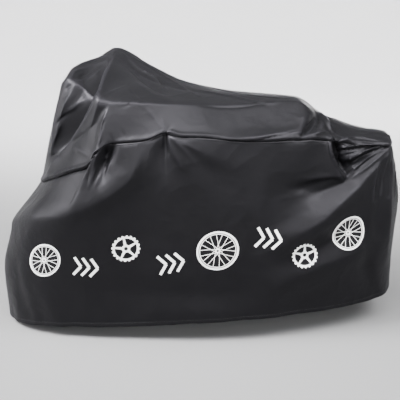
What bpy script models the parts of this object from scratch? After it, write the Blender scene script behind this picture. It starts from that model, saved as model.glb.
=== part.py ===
"""Bicycle cover, in the shape in which it hangs on a bicycle that is left out.

Three sheets are sewn together, as the real cover is:
  crown        one sheet over the handlebar, the saddle and the carrier
  skirt_left   the side sheet below it, on the side that carries the print
  skirt_right  the side sheet on the other side

Metres, +Z up. -X is the front wheel's end, -Y the printed side. The lowest point of the hem is
at height 0. The cloth is a loft through a few sewn or taut lines, which run from the front seam
to the rear seam, and broad folds then raise or sink it.
"""

import math
from dataclasses import dataclass

import bmesh
import bpy
import numpy as np
from mathutils import Vector

# ---- driving sizes
CLOTH_THICKNESS = 0.0015
SEAM_GAP = 0.0003
COLUMNS = 60  # faces from the front seam to the rear seam
SKIRT_ROWS = 16  # faces from the hem up to the side seam
CROWN_ROWS = 13  # faces from the side seam up to the top line
SKIRT_SOFTNESS = 0.30  # how far a skirt's bends are spread, in steps between lines
CROWN_SOFTNESS = 0.16
OFF_CLOTH = 0.4  # weight of a fold path's distance above or below the cloth
CREASE_ANGLE = math.radians(50)  # cut edges stay sharp, folds are smooth
FINE_SHARES = 1200  # steps in which a line's length is measured


@dataclass(frozen=True)
class Line:
    """A sewn or taut line of one side, from the front seam to the rear seam.

    stations: rows of (x, distance from the middle, height)
    front_round, rear_round: length over which the line closes to the middle at each end
    """

    stations: tuple
    front_round: float
    rear_round: float


# Columns of every table: x, distance from the middle, height.
HEM = Line(
    stations=(
        (-0.885, 0.175, 0.000),
        (-0.780, 0.225, 0.024),
        (-0.620, 0.285, 0.050),
        (-0.310, 0.325, 0.068),
        (0.000, 0.340, 0.094),
        (0.220, 0.325, 0.104),
        (0.440, 0.280, 0.107),
        (0.670, 0.205, 0.113),
        (0.870, 0.125, 0.125),
    ),
    front_round=0.15,
    rear_round=0.10,
)
BELLY = Line(
    stations=(
        (-0.903, 0.165, 0.240),
        (-0.600, 0.305, 0.275),
        (-0.300, 0.345, 0.315),
        (0.000, 0.355, 0.335),
        (0.300, 0.335, 0.300),
        (0.550, 0.275, 0.285),
        (0.750, 0.200, 0.300),
        (0.875, 0.125, 0.310),
    ),
    front_round=0.15,
    rear_round=0.10,
)
WAIST = Line(
    stations=(
        (-0.845, 0.150, 0.440),
        (-0.720, 0.260, 0.515),
        (-0.590, 0.335, 0.556),
        (-0.420, 0.368, 0.660),
        (-0.320, 0.370, 0.740),
        (-0.220, 0.358, 0.820),
        (-0.100, 0.350, 0.810),
        (0.050, 0.345, 0.710),
        (0.200, 0.338, 0.610),
        (0.350, 0.318, 0.530),
        (0.550, 0.270, 0.490),
        (0.750, 0.195, 0.540),
        (0.895, 0.120, 0.560),
    ),
    front_round=0.12,
    rear_round=0.10,
)
SEAM = Line(
    stations=(
        (-0.707, 0.030, 0.629),
        (-0.612, 0.185, 0.721),
        (-0.528, 0.262, 0.775),
        (-0.462, 0.312, 0.811),
        (-0.437, 0.332, 0.874),
        (-0.363, 0.325, 0.918),
        (-0.215, 0.332, 0.934),
        (-0.140, 0.322, 0.960),
        (-0.070, 0.328, 0.944),
        (0.000, 0.326, 0.943),
        (0.208, 0.290, 0.920),
        (0.420, 0.232, 0.915),
        (0.576, 0.160, 0.890),
        (0.690, 0.118, 0.852),
        (0.815, 0.088, 0.832),
        (0.842, 0.082, 0.826),
    ),
    front_round=0.030,
    rear_round=0.030,
)
CHEST_LEFT = Line(
    stations=(
        (-0.660, 0.035, 0.850),
        (-0.640, 0.060, 0.860),
        (-0.610, 0.068, 0.862),
        (-0.561, 0.135, 0.837),
        (-0.497, 0.230, 0.883),
        (-0.444, 0.268, 0.955),
        (-0.402, 0.302, 0.994),
        (-0.252, 0.290, 1.000),
        (0.000, 0.264, 0.992),
        (0.200, 0.215, 0.972),
        (0.420, 0.155, 0.970),
        (0.480, 0.138, 0.944),
        (0.545, 0.105, 0.892),
        (0.620, 0.088, 0.864),
        (0.720, 0.085, 0.853),
        (0.815, 0.075, 0.838),
        (0.840, 0.068, 0.832),
    ),
    front_round=0.030,
    rear_round=0.025,
)
SHOULDER_LEFT = Line(
    stations=(
        (-0.600, 0.030, 1.076),
        (-0.565, 0.035, 1.100),
        (-0.500, 0.060, 1.078),
        (-0.437, 0.230, 1.058),
        (-0.418, 0.264, 1.074),
        (-0.301, 0.258, 1.072),
        (-0.092, 0.220, 1.052),
        (0.195, 0.140, 1.027),
        (0.395, 0.085, 1.026),
        (0.450, 0.075, 1.008),
        (0.520, 0.060, 0.930),
        (0.590, 0.058, 0.880),
        (0.700, 0.058, 0.862),
        (0.815, 0.058, 0.845),
        (0.838, 0.054, 0.838),
    ),
    front_round=0.035,
    rear_round=0.025,
)
CHEST_RIGHT = Line(
    stations=(
        (-0.655, 0.035, 0.855),
        (-0.605, 0.072, 0.880),
        (-0.550, 0.150, 0.898),
        (-0.470, 0.235, 0.945),
        (-0.400, 0.302, 1.015),
        (-0.300, 0.318, 1.022),
        (-0.150, 0.302, 1.000),
        (0.000, 0.272, 0.988),
        (0.200, 0.215, 0.965),
        (0.420, 0.155, 0.958),
        (0.480, 0.136, 0.936),
        (0.545, 0.106, 0.892),
        (0.620, 0.090, 0.866),
        (0.720, 0.086, 0.854),
        (0.815, 0.075, 0.839),
        (0.840, 0.068, 0.832),
    ),
    front_round=0.030,
    rear_round=0.025,
)
SHOULDER_RIGHT = Line(
    stations=(
        (-0.605, 0.070, 1.060),
        (-0.560, 0.130, 1.115),
        (-0.460, 0.235, 1.140),
        (-0.375, 0.300, 1.172),
        (-0.225, 0.245, 1.106),
        (-0.044, 0.195, 1.034),
        (0.180, 0.140, 1.006),
        (0.395, 0.085, 1.004),
        (0.450, 0.075, 0.992),
        (0.520, 0.062, 0.940),
        (0.590, 0.062, 0.902),
        (0.700, 0.062, 0.864),
        (0.815, 0.062, 0.847),
        (0.838, 0.056, 0.838),
    ),
    front_round=0.035,
    rear_round=0.025,
)
# The top line lies in the middle, so its second column is 0.
TOP = Line(
    stations=(
        (-0.595, 0.0, 1.085),
        (-0.560, 0.0, 1.110),
        (-0.500, 0.0, 1.085),
        (-0.440, 0.0, 1.110),
        (-0.400, 0.0, 1.138),
        (-0.300, 0.0, 1.112),
        (-0.100, 0.0, 1.060),
        (0.180, 0.0, 1.028),
        (0.310, 0.0, 1.022),
        (0.420, 0.0, 1.016),
        (0.470, 0.0, 0.985),
        (0.525, 0.0, 0.944),
        (0.590, 0.0, 0.902),
        (0.700, 0.0, 0.868),
        (0.815, 0.0, 0.852),
        (0.840, 0.0, 0.842),
    ),
    front_round=0.03,
    rear_round=0.03,
)
LEFT_LINES = (HEM, BELLY, WAIST, SEAM, CHEST_LEFT, SHOULDER_LEFT)
RIGHT_LINES = (SHOULDER_RIGHT, CHEST_RIGHT, SEAM, WAIST, BELLY, HEM)
SEAM_STEP = LEFT_LINES.index(SEAM)
TOP_STEP = len(LEFT_LINES)


@dataclass(frozen=True)
class Fold:
    """A soft ridge along a path on the cloth, or a trough where its depth is negative.

    stations: rows of (x, y, z, half width, depth)
    lean: above 1 it falls away more softly on its left, seen along the path from outside
    """

    stations: tuple
    lean: float = 1.0


FOLDS = (
    # the gutter before the handlebar, the ridge beside it and the nose
    Fold(
        (
            (-0.413, 0.128, 1.147, 0.022, -0.022),
            (-0.437, 0.012, 1.113, 0.024, -0.038),
            (-0.474, -0.128, 1.054, 0.024, -0.036),
            (-0.532, -0.114, 0.930, 0.024, -0.030),
            (-0.605, -0.110, 0.803, 0.022, -0.014),
        ),
    ),
    Fold(
        (
            (-0.386, 0.213, 1.161, 0.022, 0.008),
            (-0.405, -0.048, 1.125, 0.022, 0.010),
            (-0.438, -0.224, 1.065, 0.024, 0.012),
            (-0.559, -0.134, 0.845, 0.024, 0.012),
            (-0.667, -0.084, 0.695, 0.022, 0.004),
        ),
    ),
    Fold(
        (
            (-0.534, -0.048, 1.072, 0.028, 0.016),
            (-0.570, -0.052, 1.001, 0.032, 0.034),
            (-0.602, -0.060, 0.915, 0.030, 0.030),
            (-0.636, -0.074, 0.807, 0.024, 0.008),
        ),
    ),
    # the fold over the near grip and the slack below it
    Fold(
        (
            (-0.256, -0.087, 1.082, 0.026, 0.004),
            (-0.335, -0.172, 1.075, 0.026, 0.008),
            (-0.403, -0.232, 1.059, 0.024, 0.006),
        ),
    ),
    Fold(
        (
            (-0.415, -0.264, 0.994, 0.022, -0.004),
            (-0.431, -0.287, 0.932, 0.022, -0.006),
            (-0.444, -0.300, 0.876, 0.022, -0.003),
        ),
    ),
    # the pocket where the seam turns under the grip, and its lip
    Fold(
        (
            (-0.363, -0.328, 0.901, 0.022, -0.016),
            (-0.386, -0.333, 0.857, 0.026, -0.044),
            (-0.430, -0.347, 0.751, 0.028, -0.008),
        ),
    ),
    Fold(
        (
            (-0.427, -0.333, 0.857, 0.022, 0.008),
            (-0.439, -0.337, 0.813, 0.022, 0.010),
            (-0.452, -0.343, 0.752, 0.022, 0.006),
        ),
    ),
    # the edge where the front flare turns down
    Fold(
        (
            (-0.835, -0.026, 0.445, 0.050, 0.012),
            (-0.583, -0.308, 0.583, 0.050, 0.018),
            (-0.322, -0.364, 0.743, 0.045, 0.018),
            (-0.264, -0.345, 0.867, 0.040, 0.010),
        ),
        lean=1.3,
    ),
    # the pleat in the side seam and what fans out below it
    Fold(
        (
            (-0.141, -0.323, 0.953, 0.026, -0.018),
            (-0.151, -0.339, 0.890, 0.032, -0.020),
            (-0.158, -0.351, 0.781, 0.042, -0.006),
        ),
        lean=1.2,
    ),
    Fold(
        (
            (-0.125, -0.326, 0.944, 0.024, 0.010),
            (-0.077, -0.339, 0.876, 0.030, 0.012),
            (0.002, -0.343, 0.779, 0.045, 0.004),
        ),
    ),
    Fold(
        (
            (-0.061, -0.333, 0.913, 0.022, 0.006),
            (0.041, -0.330, 0.863, 0.028, 0.008),
            (0.164, -0.315, 0.807, 0.040, 0.003),
        ),
    ),
    Fold(
        (
            (-0.082, -0.336, 0.900, 0.022, -0.005),
            (0.001, -0.339, 0.823, 0.030, -0.006),
            (0.095, -0.336, 0.735, 0.045, -0.002),
        ),
    ),
    # the slack along the seam below the saddle
    Fold(
        (
            (0.144, -0.292, 0.933, 0.022, 0.004),
            (0.294, -0.258, 0.923, 0.022, 0.009),
            (0.431, -0.209, 0.928, 0.022, 0.006),
        ),
    ),
    Fold(
        (
            (0.532, -0.003, 0.932, 0.022, -0.008),
            (0.462, -0.182, 0.930, 0.022, -0.012),
            (0.416, -0.230, 0.906, 0.022, -0.006),
        ),
    ),
    Fold(
        (
            (0.547, -0.012, 0.917, 0.022, 0.006),
            (0.511, -0.143, 0.913, 0.022, 0.012),
            (0.466, -0.210, 0.900, 0.022, 0.006),
        ),
    ),
    # the tuck behind the saddle, and the ridge and trough from it to the carrier's corner
    Fold(
        (
            (0.558, -0.168, 0.876, 0.022, 0.012),
            (0.560, -0.186, 0.816, 0.024, 0.016),
            (0.598, -0.196, 0.719, 0.024, 0.014),
        ),
        lean=1.2,
    ),
    Fold(
        (
            (0.585, -0.150, 0.882, 0.024, -0.028),
            (0.597, -0.171, 0.810, 0.030, -0.050),
            (0.638, -0.173, 0.744, 0.028, -0.030),
        ),
    ),
    Fold(
        (
            (0.594, -0.180, 0.785, 0.022, 0.010),
            (0.670, -0.140, 0.805, 0.022, 0.012),
            (0.770, -0.102, 0.821, 0.022, 0.006),
        ),
    ),
    Fold(
        (
            (0.605, -0.182, 0.762, 0.022, -0.010),
            (0.689, -0.137, 0.791, 0.022, -0.012),
            (0.779, -0.102, 0.813, 0.022, -0.006),
        ),
    ),
    # the bands that run down and forward from the carrier's corner
    Fold(
        (
            (0.815, -0.094, 0.784, 0.030, 0.010),
            (0.538, -0.256, 0.565, 0.066, 0.040),
            (0.374, -0.315, 0.483, 0.080, 0.022),
        ),
        lean=1.3,
    ),
    Fold(
        (
            (0.647, -0.183, 0.697, 0.026, -0.018),
            (0.525, -0.237, 0.671, 0.045, -0.024),
            (0.381, -0.284, 0.687, 0.060, -0.012),
        ),
    ),
    Fold(
        (
            (0.769, -0.189, 0.409, 0.040, 0.010),
            (0.562, -0.269, 0.358, 0.060, 0.022),
            (0.345, -0.325, 0.282, 0.075, 0.012),
        ),
        lean=1.2,
    ),
    Fold(
        (
            (0.752, -0.192, 0.517, 0.040, -0.010),
            (0.539, -0.273, 0.447, 0.050, -0.016),
            (0.375, -0.320, 0.372, 0.060, -0.010),
        ),
    ),
    # what hangs at the rear
    Fold(
        (
            (0.805, -0.109, 0.741, 0.022, -0.008),
            (0.785, -0.155, 0.621, 0.024, -0.012),
            (0.773, -0.187, 0.396, 0.030, -0.010),
        ),
    ),
    Fold(
        (
            (0.837, -0.092, 0.713, 0.022, 0.004),
            (0.835, -0.131, 0.562, 0.022, 0.008),
            (0.832, -0.126, 0.322, 0.026, 0.006),
        ),
    ),
    Fold(
        (
            (0.733, -0.204, 0.454, 0.025, -0.004),
            (0.739, -0.202, 0.283, 0.035, -0.010),
            (0.785, -0.161, 0.144, 0.035, -0.010),
        ),
    ),
    # the slack low down
    Fold(
        (
            (-0.195, -0.339, 0.166, 0.050, 0.004),
            (0.055, -0.342, 0.146, 0.060, 0.010),
            (0.318, -0.313, 0.142, 0.055, 0.005),
        ),
    ),
    Fold(
        (
            (-0.414, -0.330, 0.233, 0.060, -0.004),
            (-0.107, -0.347, 0.233, 0.070, -0.010),
            (0.174, -0.341, 0.239, 0.070, -0.006),
        ),
    ),
    Fold(
        (
            (-0.821, -0.171, 0.308, 0.035, -0.004),
            (-0.806, -0.197, 0.185, 0.040, -0.009),
            (-0.777, -0.219, 0.072, 0.035, -0.009),
        ),
    ),
    Fold(
        (
            (-0.707, -0.269, 0.316, 0.050, 0.003),
            (-0.670, -0.279, 0.199, 0.060, 0.008),
            (-0.615, -0.288, 0.080, 0.050, 0.008),
        ),
    ),
    # the taut roof between the grips and the saddle
    Fold(
        (
            (-0.332, 0.156, 1.144, 0.024, -0.006),
            (-0.220, 0.045, 1.092, 0.026, -0.010),
            (0.108, -0.030, 1.033, 0.024, -0.003),
        ),
    ),
    Fold(
        (
            (-0.350, 0.055, 1.135, 0.024, 0.006),
            (-0.254, -0.107, 1.090, 0.028, 0.010),
            (-0.146, -0.181, 1.061, 0.026, 0.004),
        ),
    ),
    # the other side hangs in its own folds
    Fold(
        (
            (-0.400, 0.290, 1.120, 0.030, 0.010),
            (-0.470, 0.260, 0.980, 0.040, 0.018),
            (-0.540, 0.215, 0.800, 0.050, 0.010),
        ),
    ),
    Fold(
        (
            (-0.463, 0.121, 1.120, 0.035, -0.004),
            (-0.513, -0.134, 1.045, 0.040, -0.010),
            (-0.587, -0.105, 0.851, 0.035, -0.006),
        ),
    ),
    Fold(
        (
            (-0.340, 0.300, 1.060, 0.035, -0.010),
            (-0.335, 0.345, 0.860, 0.050, -0.026),
            (-0.345, 0.360, 0.560, 0.065, -0.010),
        ),
    ),
    Fold(
        (
            (-0.280, 0.290, 1.020, 0.035, 0.006),
            (-0.200, 0.345, 0.820, 0.050, 0.016),
            (-0.100, 0.355, 0.420, 0.075, 0.010),
        ),
    ),
    Fold(
        (
            (-0.020, 0.325, 0.940, 0.030, -0.006),
            (0.020, 0.345, 0.700, 0.050, -0.014),
            (0.060, 0.355, 0.320, 0.070, -0.010),
        ),
    ),
    Fold(
        (
            (0.210, 0.290, 0.910, 0.035, 0.006),
            (0.190, 0.335, 0.620, 0.055, 0.014),
            (0.170, 0.330, 0.240, 0.070, 0.008),
        ),
    ),
    Fold(
        (
            (0.560, 0.160, 0.890, 0.026, -0.006),
            (0.600, 0.185, 0.780, 0.034, -0.026),
            (0.640, 0.215, 0.640, 0.040, -0.008),
        ),
    ),
    Fold(
        (
            (0.810, 0.090, 0.790, 0.030, 0.006),
            (0.680, 0.190, 0.640, 0.050, 0.020),
            (0.500, 0.275, 0.500, 0.065, 0.020),
            (0.340, 0.320, 0.400, 0.075, 0.008),
        ),
        lean=0.8,
    ),
    Fold(
        (
            (0.760, 0.190, 0.480, 0.045, -0.008),
            (0.540, 0.275, 0.350, 0.060, -0.014),
            (0.320, 0.325, 0.230, 0.075, -0.006),
        ),
    ),
    Fold(
        (
            (-0.800, 0.170, 0.480, 0.045, 0.010),
            (-0.600, 0.290, 0.520, 0.050, 0.018),
            (-0.430, 0.345, 0.600, 0.050, 0.016),
            (-0.330, 0.355, 0.700, 0.045, 0.008),
        ),
        lean=0.8,
    ),
    Fold(
        (
            (-0.640, 0.285, 0.200, 0.055, -0.004),
            (-0.380, 0.325, 0.170, 0.065, -0.010),
            (-0.100, 0.340, 0.180, 0.065, -0.006),
        ),
    ),
    Fold(
        (
            (0.815, 0.100, 0.740, 0.020, -0.006),
            (0.800, 0.160, 0.560, 0.028, -0.012),
            (0.785, 0.170, 0.300, 0.032, -0.010),
        ),
    ),
    Fold(
        (
            (-0.430, 0.200, 1.145, 0.030, 0.004),
            (-0.483, 0.181, 1.128, 0.035, 0.010),
            (-0.533, 0.109, 1.115, 0.035, 0.010),
            (-0.563, -0.043, 1.097, 0.030, 0.004),
        ),
    ),
)


# ---- the cloth's own shape


def smooth_through(xs, ys, x):
    """A curve through the rows of a table that never swings past them."""
    xs, ys = np.asarray(xs, float), np.asarray(ys, float)
    step = np.diff(xs)
    rise = np.diff(ys) / step
    slope = np.zeros(len(xs))
    same_way = rise[:-1] * rise[1:] > 0
    before, after = 2 * step[1:] + step[:-1], step[1:] + 2 * step[:-1]
    safe = np.where(same_way, rise[:-1] * rise[1:], 1.0)
    mean = (before + after) * safe / (before * rise[1:] + after * rise[:-1] + 1e-30)
    slope[1:-1] = np.where(same_way, mean, 0.0)
    slope[0], slope[-1] = rise[0], rise[-1]
    k = np.clip(np.searchsorted(xs, x) - 1, 0, len(step) - 1)
    t = (x - xs[k]) / step[k]
    a, b = ys[k], ys[k + 1]
    return (
        a * (1 + 2 * t) * (1 - t) ** 2
        + b * t * t * (3 - 2 * t)
        + step[k] * (slope[k] * t * (1 - t) ** 2 - slope[k + 1] * t * t * (1 - t))
    )


def round_end(distance, length):
    """Share of the full width at a distance from an end that is round over a length."""
    t = np.clip(1 - distance / length, 0, 1)
    return np.sqrt(1 - t * t)


def line_points(line, share):
    """Points (x, distance from the middle, height) at shares of a line's length."""
    xs, widths, heights = np.array(line.stations).T
    x = xs[0] + (xs[-1] - xs[0]) * share
    width = smooth_through(xs, widths, x)
    width = width * round_end(x - xs[0], line.front_round)
    width = width * round_end(xs[-1] - x, line.rear_round)
    return np.stack([x, width, smooth_through(xs, heights, x)], axis=-1)


def column_shares(count):
    """Shares of the length, so that the columns are even round the ends as well."""
    fine = np.linspace(0, 1, FINE_SHARES)
    run = np.zeros(len(fine) - 1)
    for line in (SHOULDER_LEFT, WAIST, HEM):
        run += np.linalg.norm(np.diff(line_points(line, fine), axis=0), axis=1)
    along = np.concatenate([[0], np.cumsum(run)])
    return np.interp(np.linspace(0, along[-1], count + 1), along, fine)


def sewn_lines(share):
    """The lines from the left hem over the top to the right hem, as (line, column, xyz)."""
    rows = []
    for line in LEFT_LINES:
        rows.append(line_points(line, share) * (1, -1, 1))
    rows.append(line_points(TOP, share))
    for line in RIGHT_LINES:
        rows.append(line_points(line, share))
    return np.array(rows)


def between_lines(lines, steps):
    """Straight cloth between neighbouring lines at fractional steps, carried on past the hems."""
    k = np.clip(np.floor(steps).astype(int), 0, len(lines) - 2)
    t = (steps - k)[:, None, None]
    return lines[k] * (1 - t) + lines[k + 1] * t


def softness_at(steps):
    """How far the bends are spread: more on the skirts than on the taut crown."""
    from_top = np.abs(steps - TOP_STEP)
    on_skirt = np.clip(from_top - (TOP_STEP - SEAM_STEP) + 0.5, 0, 1)
    return CROWN_SOFTNESS + (SKIRT_SOFTNESS - CROWN_SOFTNESS) * on_skirt


def arch_points(columns, skirt_rows, crown_rows):
    """The cloth without its folds, as (row, column, xyz), from the left hem to the right."""
    lines = sewn_lines(column_shares(columns))
    skirt = np.linspace(0, SEAM_STEP, skirt_rows + 1)
    crown = np.linspace(SEAM_STEP, TOP_STEP, crown_rows + 1)[1:]
    left = np.concatenate([skirt, crown])
    steps = np.concatenate([left, 2 * TOP_STEP - left[-2::-1]])
    spread = softness_at(steps)
    points = np.zeros((len(steps), lines.shape[1], 3))
    weights = {-1.0: 1, -0.5: 2, 0.0: 3, 0.5: 2, 1.0: 1}
    for offset, weight in weights.items():
        points += weight * between_lines(lines, steps + offset * spread)
    points /= sum(weights.values())
    for end in (0, -1):
        middle = (points[:, end] + points[::-1, end]) / 2
        middle[:, 1] = 0
        points[:, end] = middle
    return points


def outward(points):
    """Unit vectors square to the cloth, pointing out."""
    before, after = points[::-1, 1:2], points[::-1, -2:-1]
    wide = np.concatenate([before, points, after], axis=1)
    along = wide[:, 2:] - wide[:, :-2]
    up = np.gradient(points, axis=0)
    top = len(points) // 2
    for end in (0, -1):  # at the ends the two sides meet, and run opposite ways
        up[top, end] = points[top, end] - points[top - 1, end]
    square = np.cross(along, up)
    return square / np.maximum(np.linalg.norm(square, axis=-1, keepdims=True), 1e-12)


def fold_height(fold, points, normals):
    """How far one fold raises each point."""
    rows = np.array(fold.stations, float)
    nearest = np.full(points.shape[:2], 1e9)
    raised = np.zeros(points.shape[:2])
    for start, end in zip(rows[:-1], rows[1:]):
        run = end[:3] - start[:3]
        t = np.clip((points - start[:3]) @ run / (run @ run), 0, 1)
        away = points - start[:3] - t[..., None] * run
        off = np.sum(away * normals, axis=-1)
        flat = away - off[..., None] * normals
        side = np.sum(np.cross(normals, run) * flat, axis=-1)
        width, depth = np.moveaxis(start[3:] + (end[3:] - start[3:]) * t[..., None], -1, 0)
        width = width * np.where(side > 0, fold.lean, 1 / fold.lean)
        distance = np.sqrt(np.sum(flat * flat, axis=-1) + (OFF_CLOTH * off) ** 2)
        closer = distance < nearest
        nearest = np.where(closer, distance, nearest)
        raised = np.where(closer, depth * np.exp(-((distance / width) ** 2)), raised)
    return raised


def cover_points(columns, skirt_rows, crown_rows):
    """The outside of the whole cover, folds and all, as (row, column, xyz)."""
    points = arch_points(columns, skirt_rows, crown_rows)
    normals = outward(points)
    raised = np.zeros(points.shape[:2])
    for fold in FOLDS:
        raised += fold_height(fold, points, normals)
    raised[:, 0] = (raised[:, 0] + raised[::-1, 0]) / 2
    raised[:, -1] = (raised[:, -1] + raised[::-1, -1]) / 2
    points = points + raised[..., None] * normals
    points[:, [0, -1], 1] = 0
    return points


# ---- the sheets


def pulled_back(points, rows_too, ends_too):
    """The sheet with its sewn edges moved in by half the seam's gap."""
    moved = points.copy()
    edges = []
    if rows_too[0]:
        edges.append((np.s_[0, :], np.s_[1, :]))
    if rows_too[1]:
        edges.append((np.s_[-1, :], np.s_[-2, :]))
    if ends_too:
        edges.append((np.s_[:, 0], np.s_[:, 1]))
        edges.append((np.s_[:, -1], np.s_[:, -2]))
    for edge, inner in edges:
        way = points[inner] - points[edge]
        way /= np.linalg.norm(way, axis=-1, keepdims=True)
        moved[edge] += way * SEAM_GAP / 2
    return moved


def laid_grid(shape, points, weld):
    """A grid of faces laid on the points, its two ends welded shut if the sheet is folded."""
    rows, columns = points.shape[:2]
    grid = bmesh.ops.create_grid(shape, x_segments=columns - 1, y_segments=rows - 1, size=1)
    verts = sorted(grid["verts"], key=lambda v: (round(v.co.y, 6), round(v.co.x, 6)))
    for vert, place in zip(verts, points.reshape(-1, 3)):
        vert.co = Vector(place)
    if weld:
        bmesh.ops.remove_doubles(shape, verts=verts, dist=1e-6)
    verts = [v for v in verts if v.is_valid]
    return {edge for v in verts for edge in v.link_edges}


def sheet_object(name, outside, inside, folded, material, collection):
    """A sheet of cloth as one closed solid between its outside and its inside."""
    shape = bmesh.new()
    edges = laid_grid(shape, outside, folded)
    edges |= laid_grid(shape, inside, folded)
    rim = [edge for edge in edges if edge.is_boundary]
    bmesh.ops.bridge_loops(shape, edges=rim)
    bmesh.ops.recalc_face_normals(shape, faces=shape.faces)
    bmesh.ops.triangulate(shape, faces=shape.faces)
    mesh = bpy.data.meshes.new(name)
    shape.to_mesh(mesh)
    shape.free()
    mesh.shade_smooth()
    mesh.set_sharp_from_angle(angle=CREASE_ANGLE)
    mesh.materials.append(material)
    sheet = bpy.data.objects.new(name, mesh)
    collection.objects.link(sheet)
    return sheet


def cloth_material():
    """Coated black polyester with a soft sheen."""
    material = bpy.data.materials.new("coated_polyester")
    material.use_nodes = True
    shader = material.node_tree.nodes["Principled BSDF"]
    shader.inputs["Base Color"].default_value = (0.012, 0.012, 0.014, 1.0)
    shader.inputs["Roughness"].default_value = 0.42
    shader.inputs["Metallic"].default_value = 0.0
    return material


def build_cover():
    """The three sheets of the cover."""
    for old in list(bpy.data.objects):
        bpy.data.objects.remove(old)
    collection = bpy.data.collections.new("bicycle_cover")
    bpy.context.scene.collection.children.link(collection)
    material = cloth_material()
    outside = cover_points(COLUMNS, SKIRT_ROWS, CROWN_ROWS)
    inside = outside - CLOTH_THICKNESS * outward(outside)
    last = len(outside) - 1
    sheets = {
        "skirt_left": (0, SKIRT_ROWS),
        "crown": (SKIRT_ROWS, last - SKIRT_ROWS),
        "skirt_right": (last - SKIRT_ROWS, last),
    }
    for name, (low, high) in sheets.items():
        folded = name == "crown"
        sewn = (low > 0, high < last)
        layers = []
        for layer in (outside, inside):
            layers.append(pulled_back(layer[low : high + 1], sewn, not folded))
        sheet_object(name, layers[0], layers[1], folded, material, collection)


build_cover()
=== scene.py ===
"""The looks of a bicycle cover: coated black cloth in folds, its seams, hems, stitches and print.

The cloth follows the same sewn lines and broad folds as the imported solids, in metres, and carries
them on at a finer scale. +Z is up, -X is the front wheel's end and -Y the printed side. One grid of
points is the outside of the whole cover. Its rows run from the left hem over the top to the right
hem, its columns from the front seam to the rear seam, and the three sheets are cut from it.
"""

import logging
import math
from dataclasses import dataclass
from enum import Enum

import bmesh
import bpy
import numpy as np
from mathutils import Matrix, Vector, noise
from mathutils.bvhtree import BVHTree

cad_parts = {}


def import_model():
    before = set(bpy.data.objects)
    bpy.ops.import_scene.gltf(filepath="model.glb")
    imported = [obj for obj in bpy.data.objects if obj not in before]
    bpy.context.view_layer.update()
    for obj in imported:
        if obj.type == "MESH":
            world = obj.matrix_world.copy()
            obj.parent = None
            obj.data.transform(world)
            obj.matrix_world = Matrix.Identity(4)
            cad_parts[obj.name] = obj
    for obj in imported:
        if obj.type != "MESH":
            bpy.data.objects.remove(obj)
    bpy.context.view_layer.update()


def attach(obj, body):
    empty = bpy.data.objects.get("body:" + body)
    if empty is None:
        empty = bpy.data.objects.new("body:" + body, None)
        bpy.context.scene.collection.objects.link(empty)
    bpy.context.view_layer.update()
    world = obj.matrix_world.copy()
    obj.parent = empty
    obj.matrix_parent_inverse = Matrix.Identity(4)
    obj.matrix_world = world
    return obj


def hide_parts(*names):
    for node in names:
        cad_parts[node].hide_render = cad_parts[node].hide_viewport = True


LOG = logging.getLogger("bicycle_cover")
BODY = "root"

Row = tuple[float, ...]


# ---- the shape of the cloth: its lines and folds, in metres


class Crease(Enum):
    """How a fold bends: the power with which it falls off, and how far its sides draw in to it."""

    SOFT = (2.0, 0.0)
    FIRM = (1.7, 0.25)
    SHARP = (1.3, 0.45)


@dataclass(frozen=True)
class Line:
    """A sewn or taut line of one side, from the front seam to the rear seam.

    stations: rows of (x, distance from the middle, height)
    front_round, rear_round: length over which the line closes to the middle at each end
    """

    stations: tuple[Row, ...]
    front_round: float
    rear_round: float

    def at(self, share: np.ndarray) -> np.ndarray:
        """Points of the line.

        Args:
            share: shares of the line's length along X, from 0 to 1.

        Returns:
            Rows of (x, distance from the middle, height).
        """
        xs, widths, heights = np.array(self.stations).T
        x = xs[0] + (xs[-1] - xs[0]) * share
        width = smooth_through(xs, widths, x)
        width = width * round_end(x - xs[0], self.front_round)
        width = width * round_end(xs[-1] - x, self.rear_round)
        return np.stack([x, width, smooth_through(xs, heights, x)], axis=-1)


@dataclass(frozen=True)
class Fold:
    """A ridge along a path on the cloth, or a trough where its depth is negative.

    stations: rows of (x, y, z, half width, depth)
    lean: above 1 it falls away more softly on its left, seen along the path from outside
    crease: how sharply it bends
    roll: how far its crest leans over to its right, as a share of its depth
    """

    stations: tuple[Row, ...]
    lean: float = 1.0
    crease: Crease = Crease.SOFT
    roll: float = 0.0


@dataclass(frozen=True)
class PictureFold:
    """A fold given on the picture. It lies on the cloth that shows there.

    stations: rows of (pixels from the left, pixels from the top, half width, depth), the last
        two in millimetres
    crease, lean, roll: as in a Fold
    """

    stations: tuple[Row, ...]
    crease: Crease
    lean: float = 1.0
    roll: float = 0.0


@dataclass(frozen=True)
class PictureView:
    """The camera's view of the object, from the printed side.

    distance: from the camera to the point that it faces
    elevation: how far it looks down, in degrees
    aim_height: height of that point, which is in the middle of the object
    lens, sensor: focal length and width, in millimetres
    pixels: width and height of the picture
    """

    distance: float = 5.3
    elevation: float = 21.0
    aim_height: float = 0.5376
    lens: float = 106.0
    sensor: float = 36.0
    pixels: int = 400

    @property
    def place(self) -> Vector:
        """The camera's place."""
        tilt = math.radians(self.elevation)
        back = Vector((0, -math.cos(tilt), math.sin(tilt)))
        return back * self.distance + Vector((0, 0, self.aim_height))

    def ray(self, from_left: float, from_top: float) -> Vector:
        """The way from the camera through a point of the picture.

        Args:
            from_left: pixels from the picture's left edge.
            from_top: pixels from its top edge.

        Returns:
            The direction.
        """
        tilt = math.radians(self.elevation)
        pixel = self.sensor / self.lens / self.pixels
        aside = (from_left - self.pixels / 2) * pixel
        up = (self.pixels / 2 - from_top) * pixel
        ahead = Vector((0, math.cos(tilt), -math.sin(tilt)))
        return ahead + Vector((aside, up * math.sin(tilt), up * math.cos(tilt)))


VIEW = PictureView()

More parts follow.
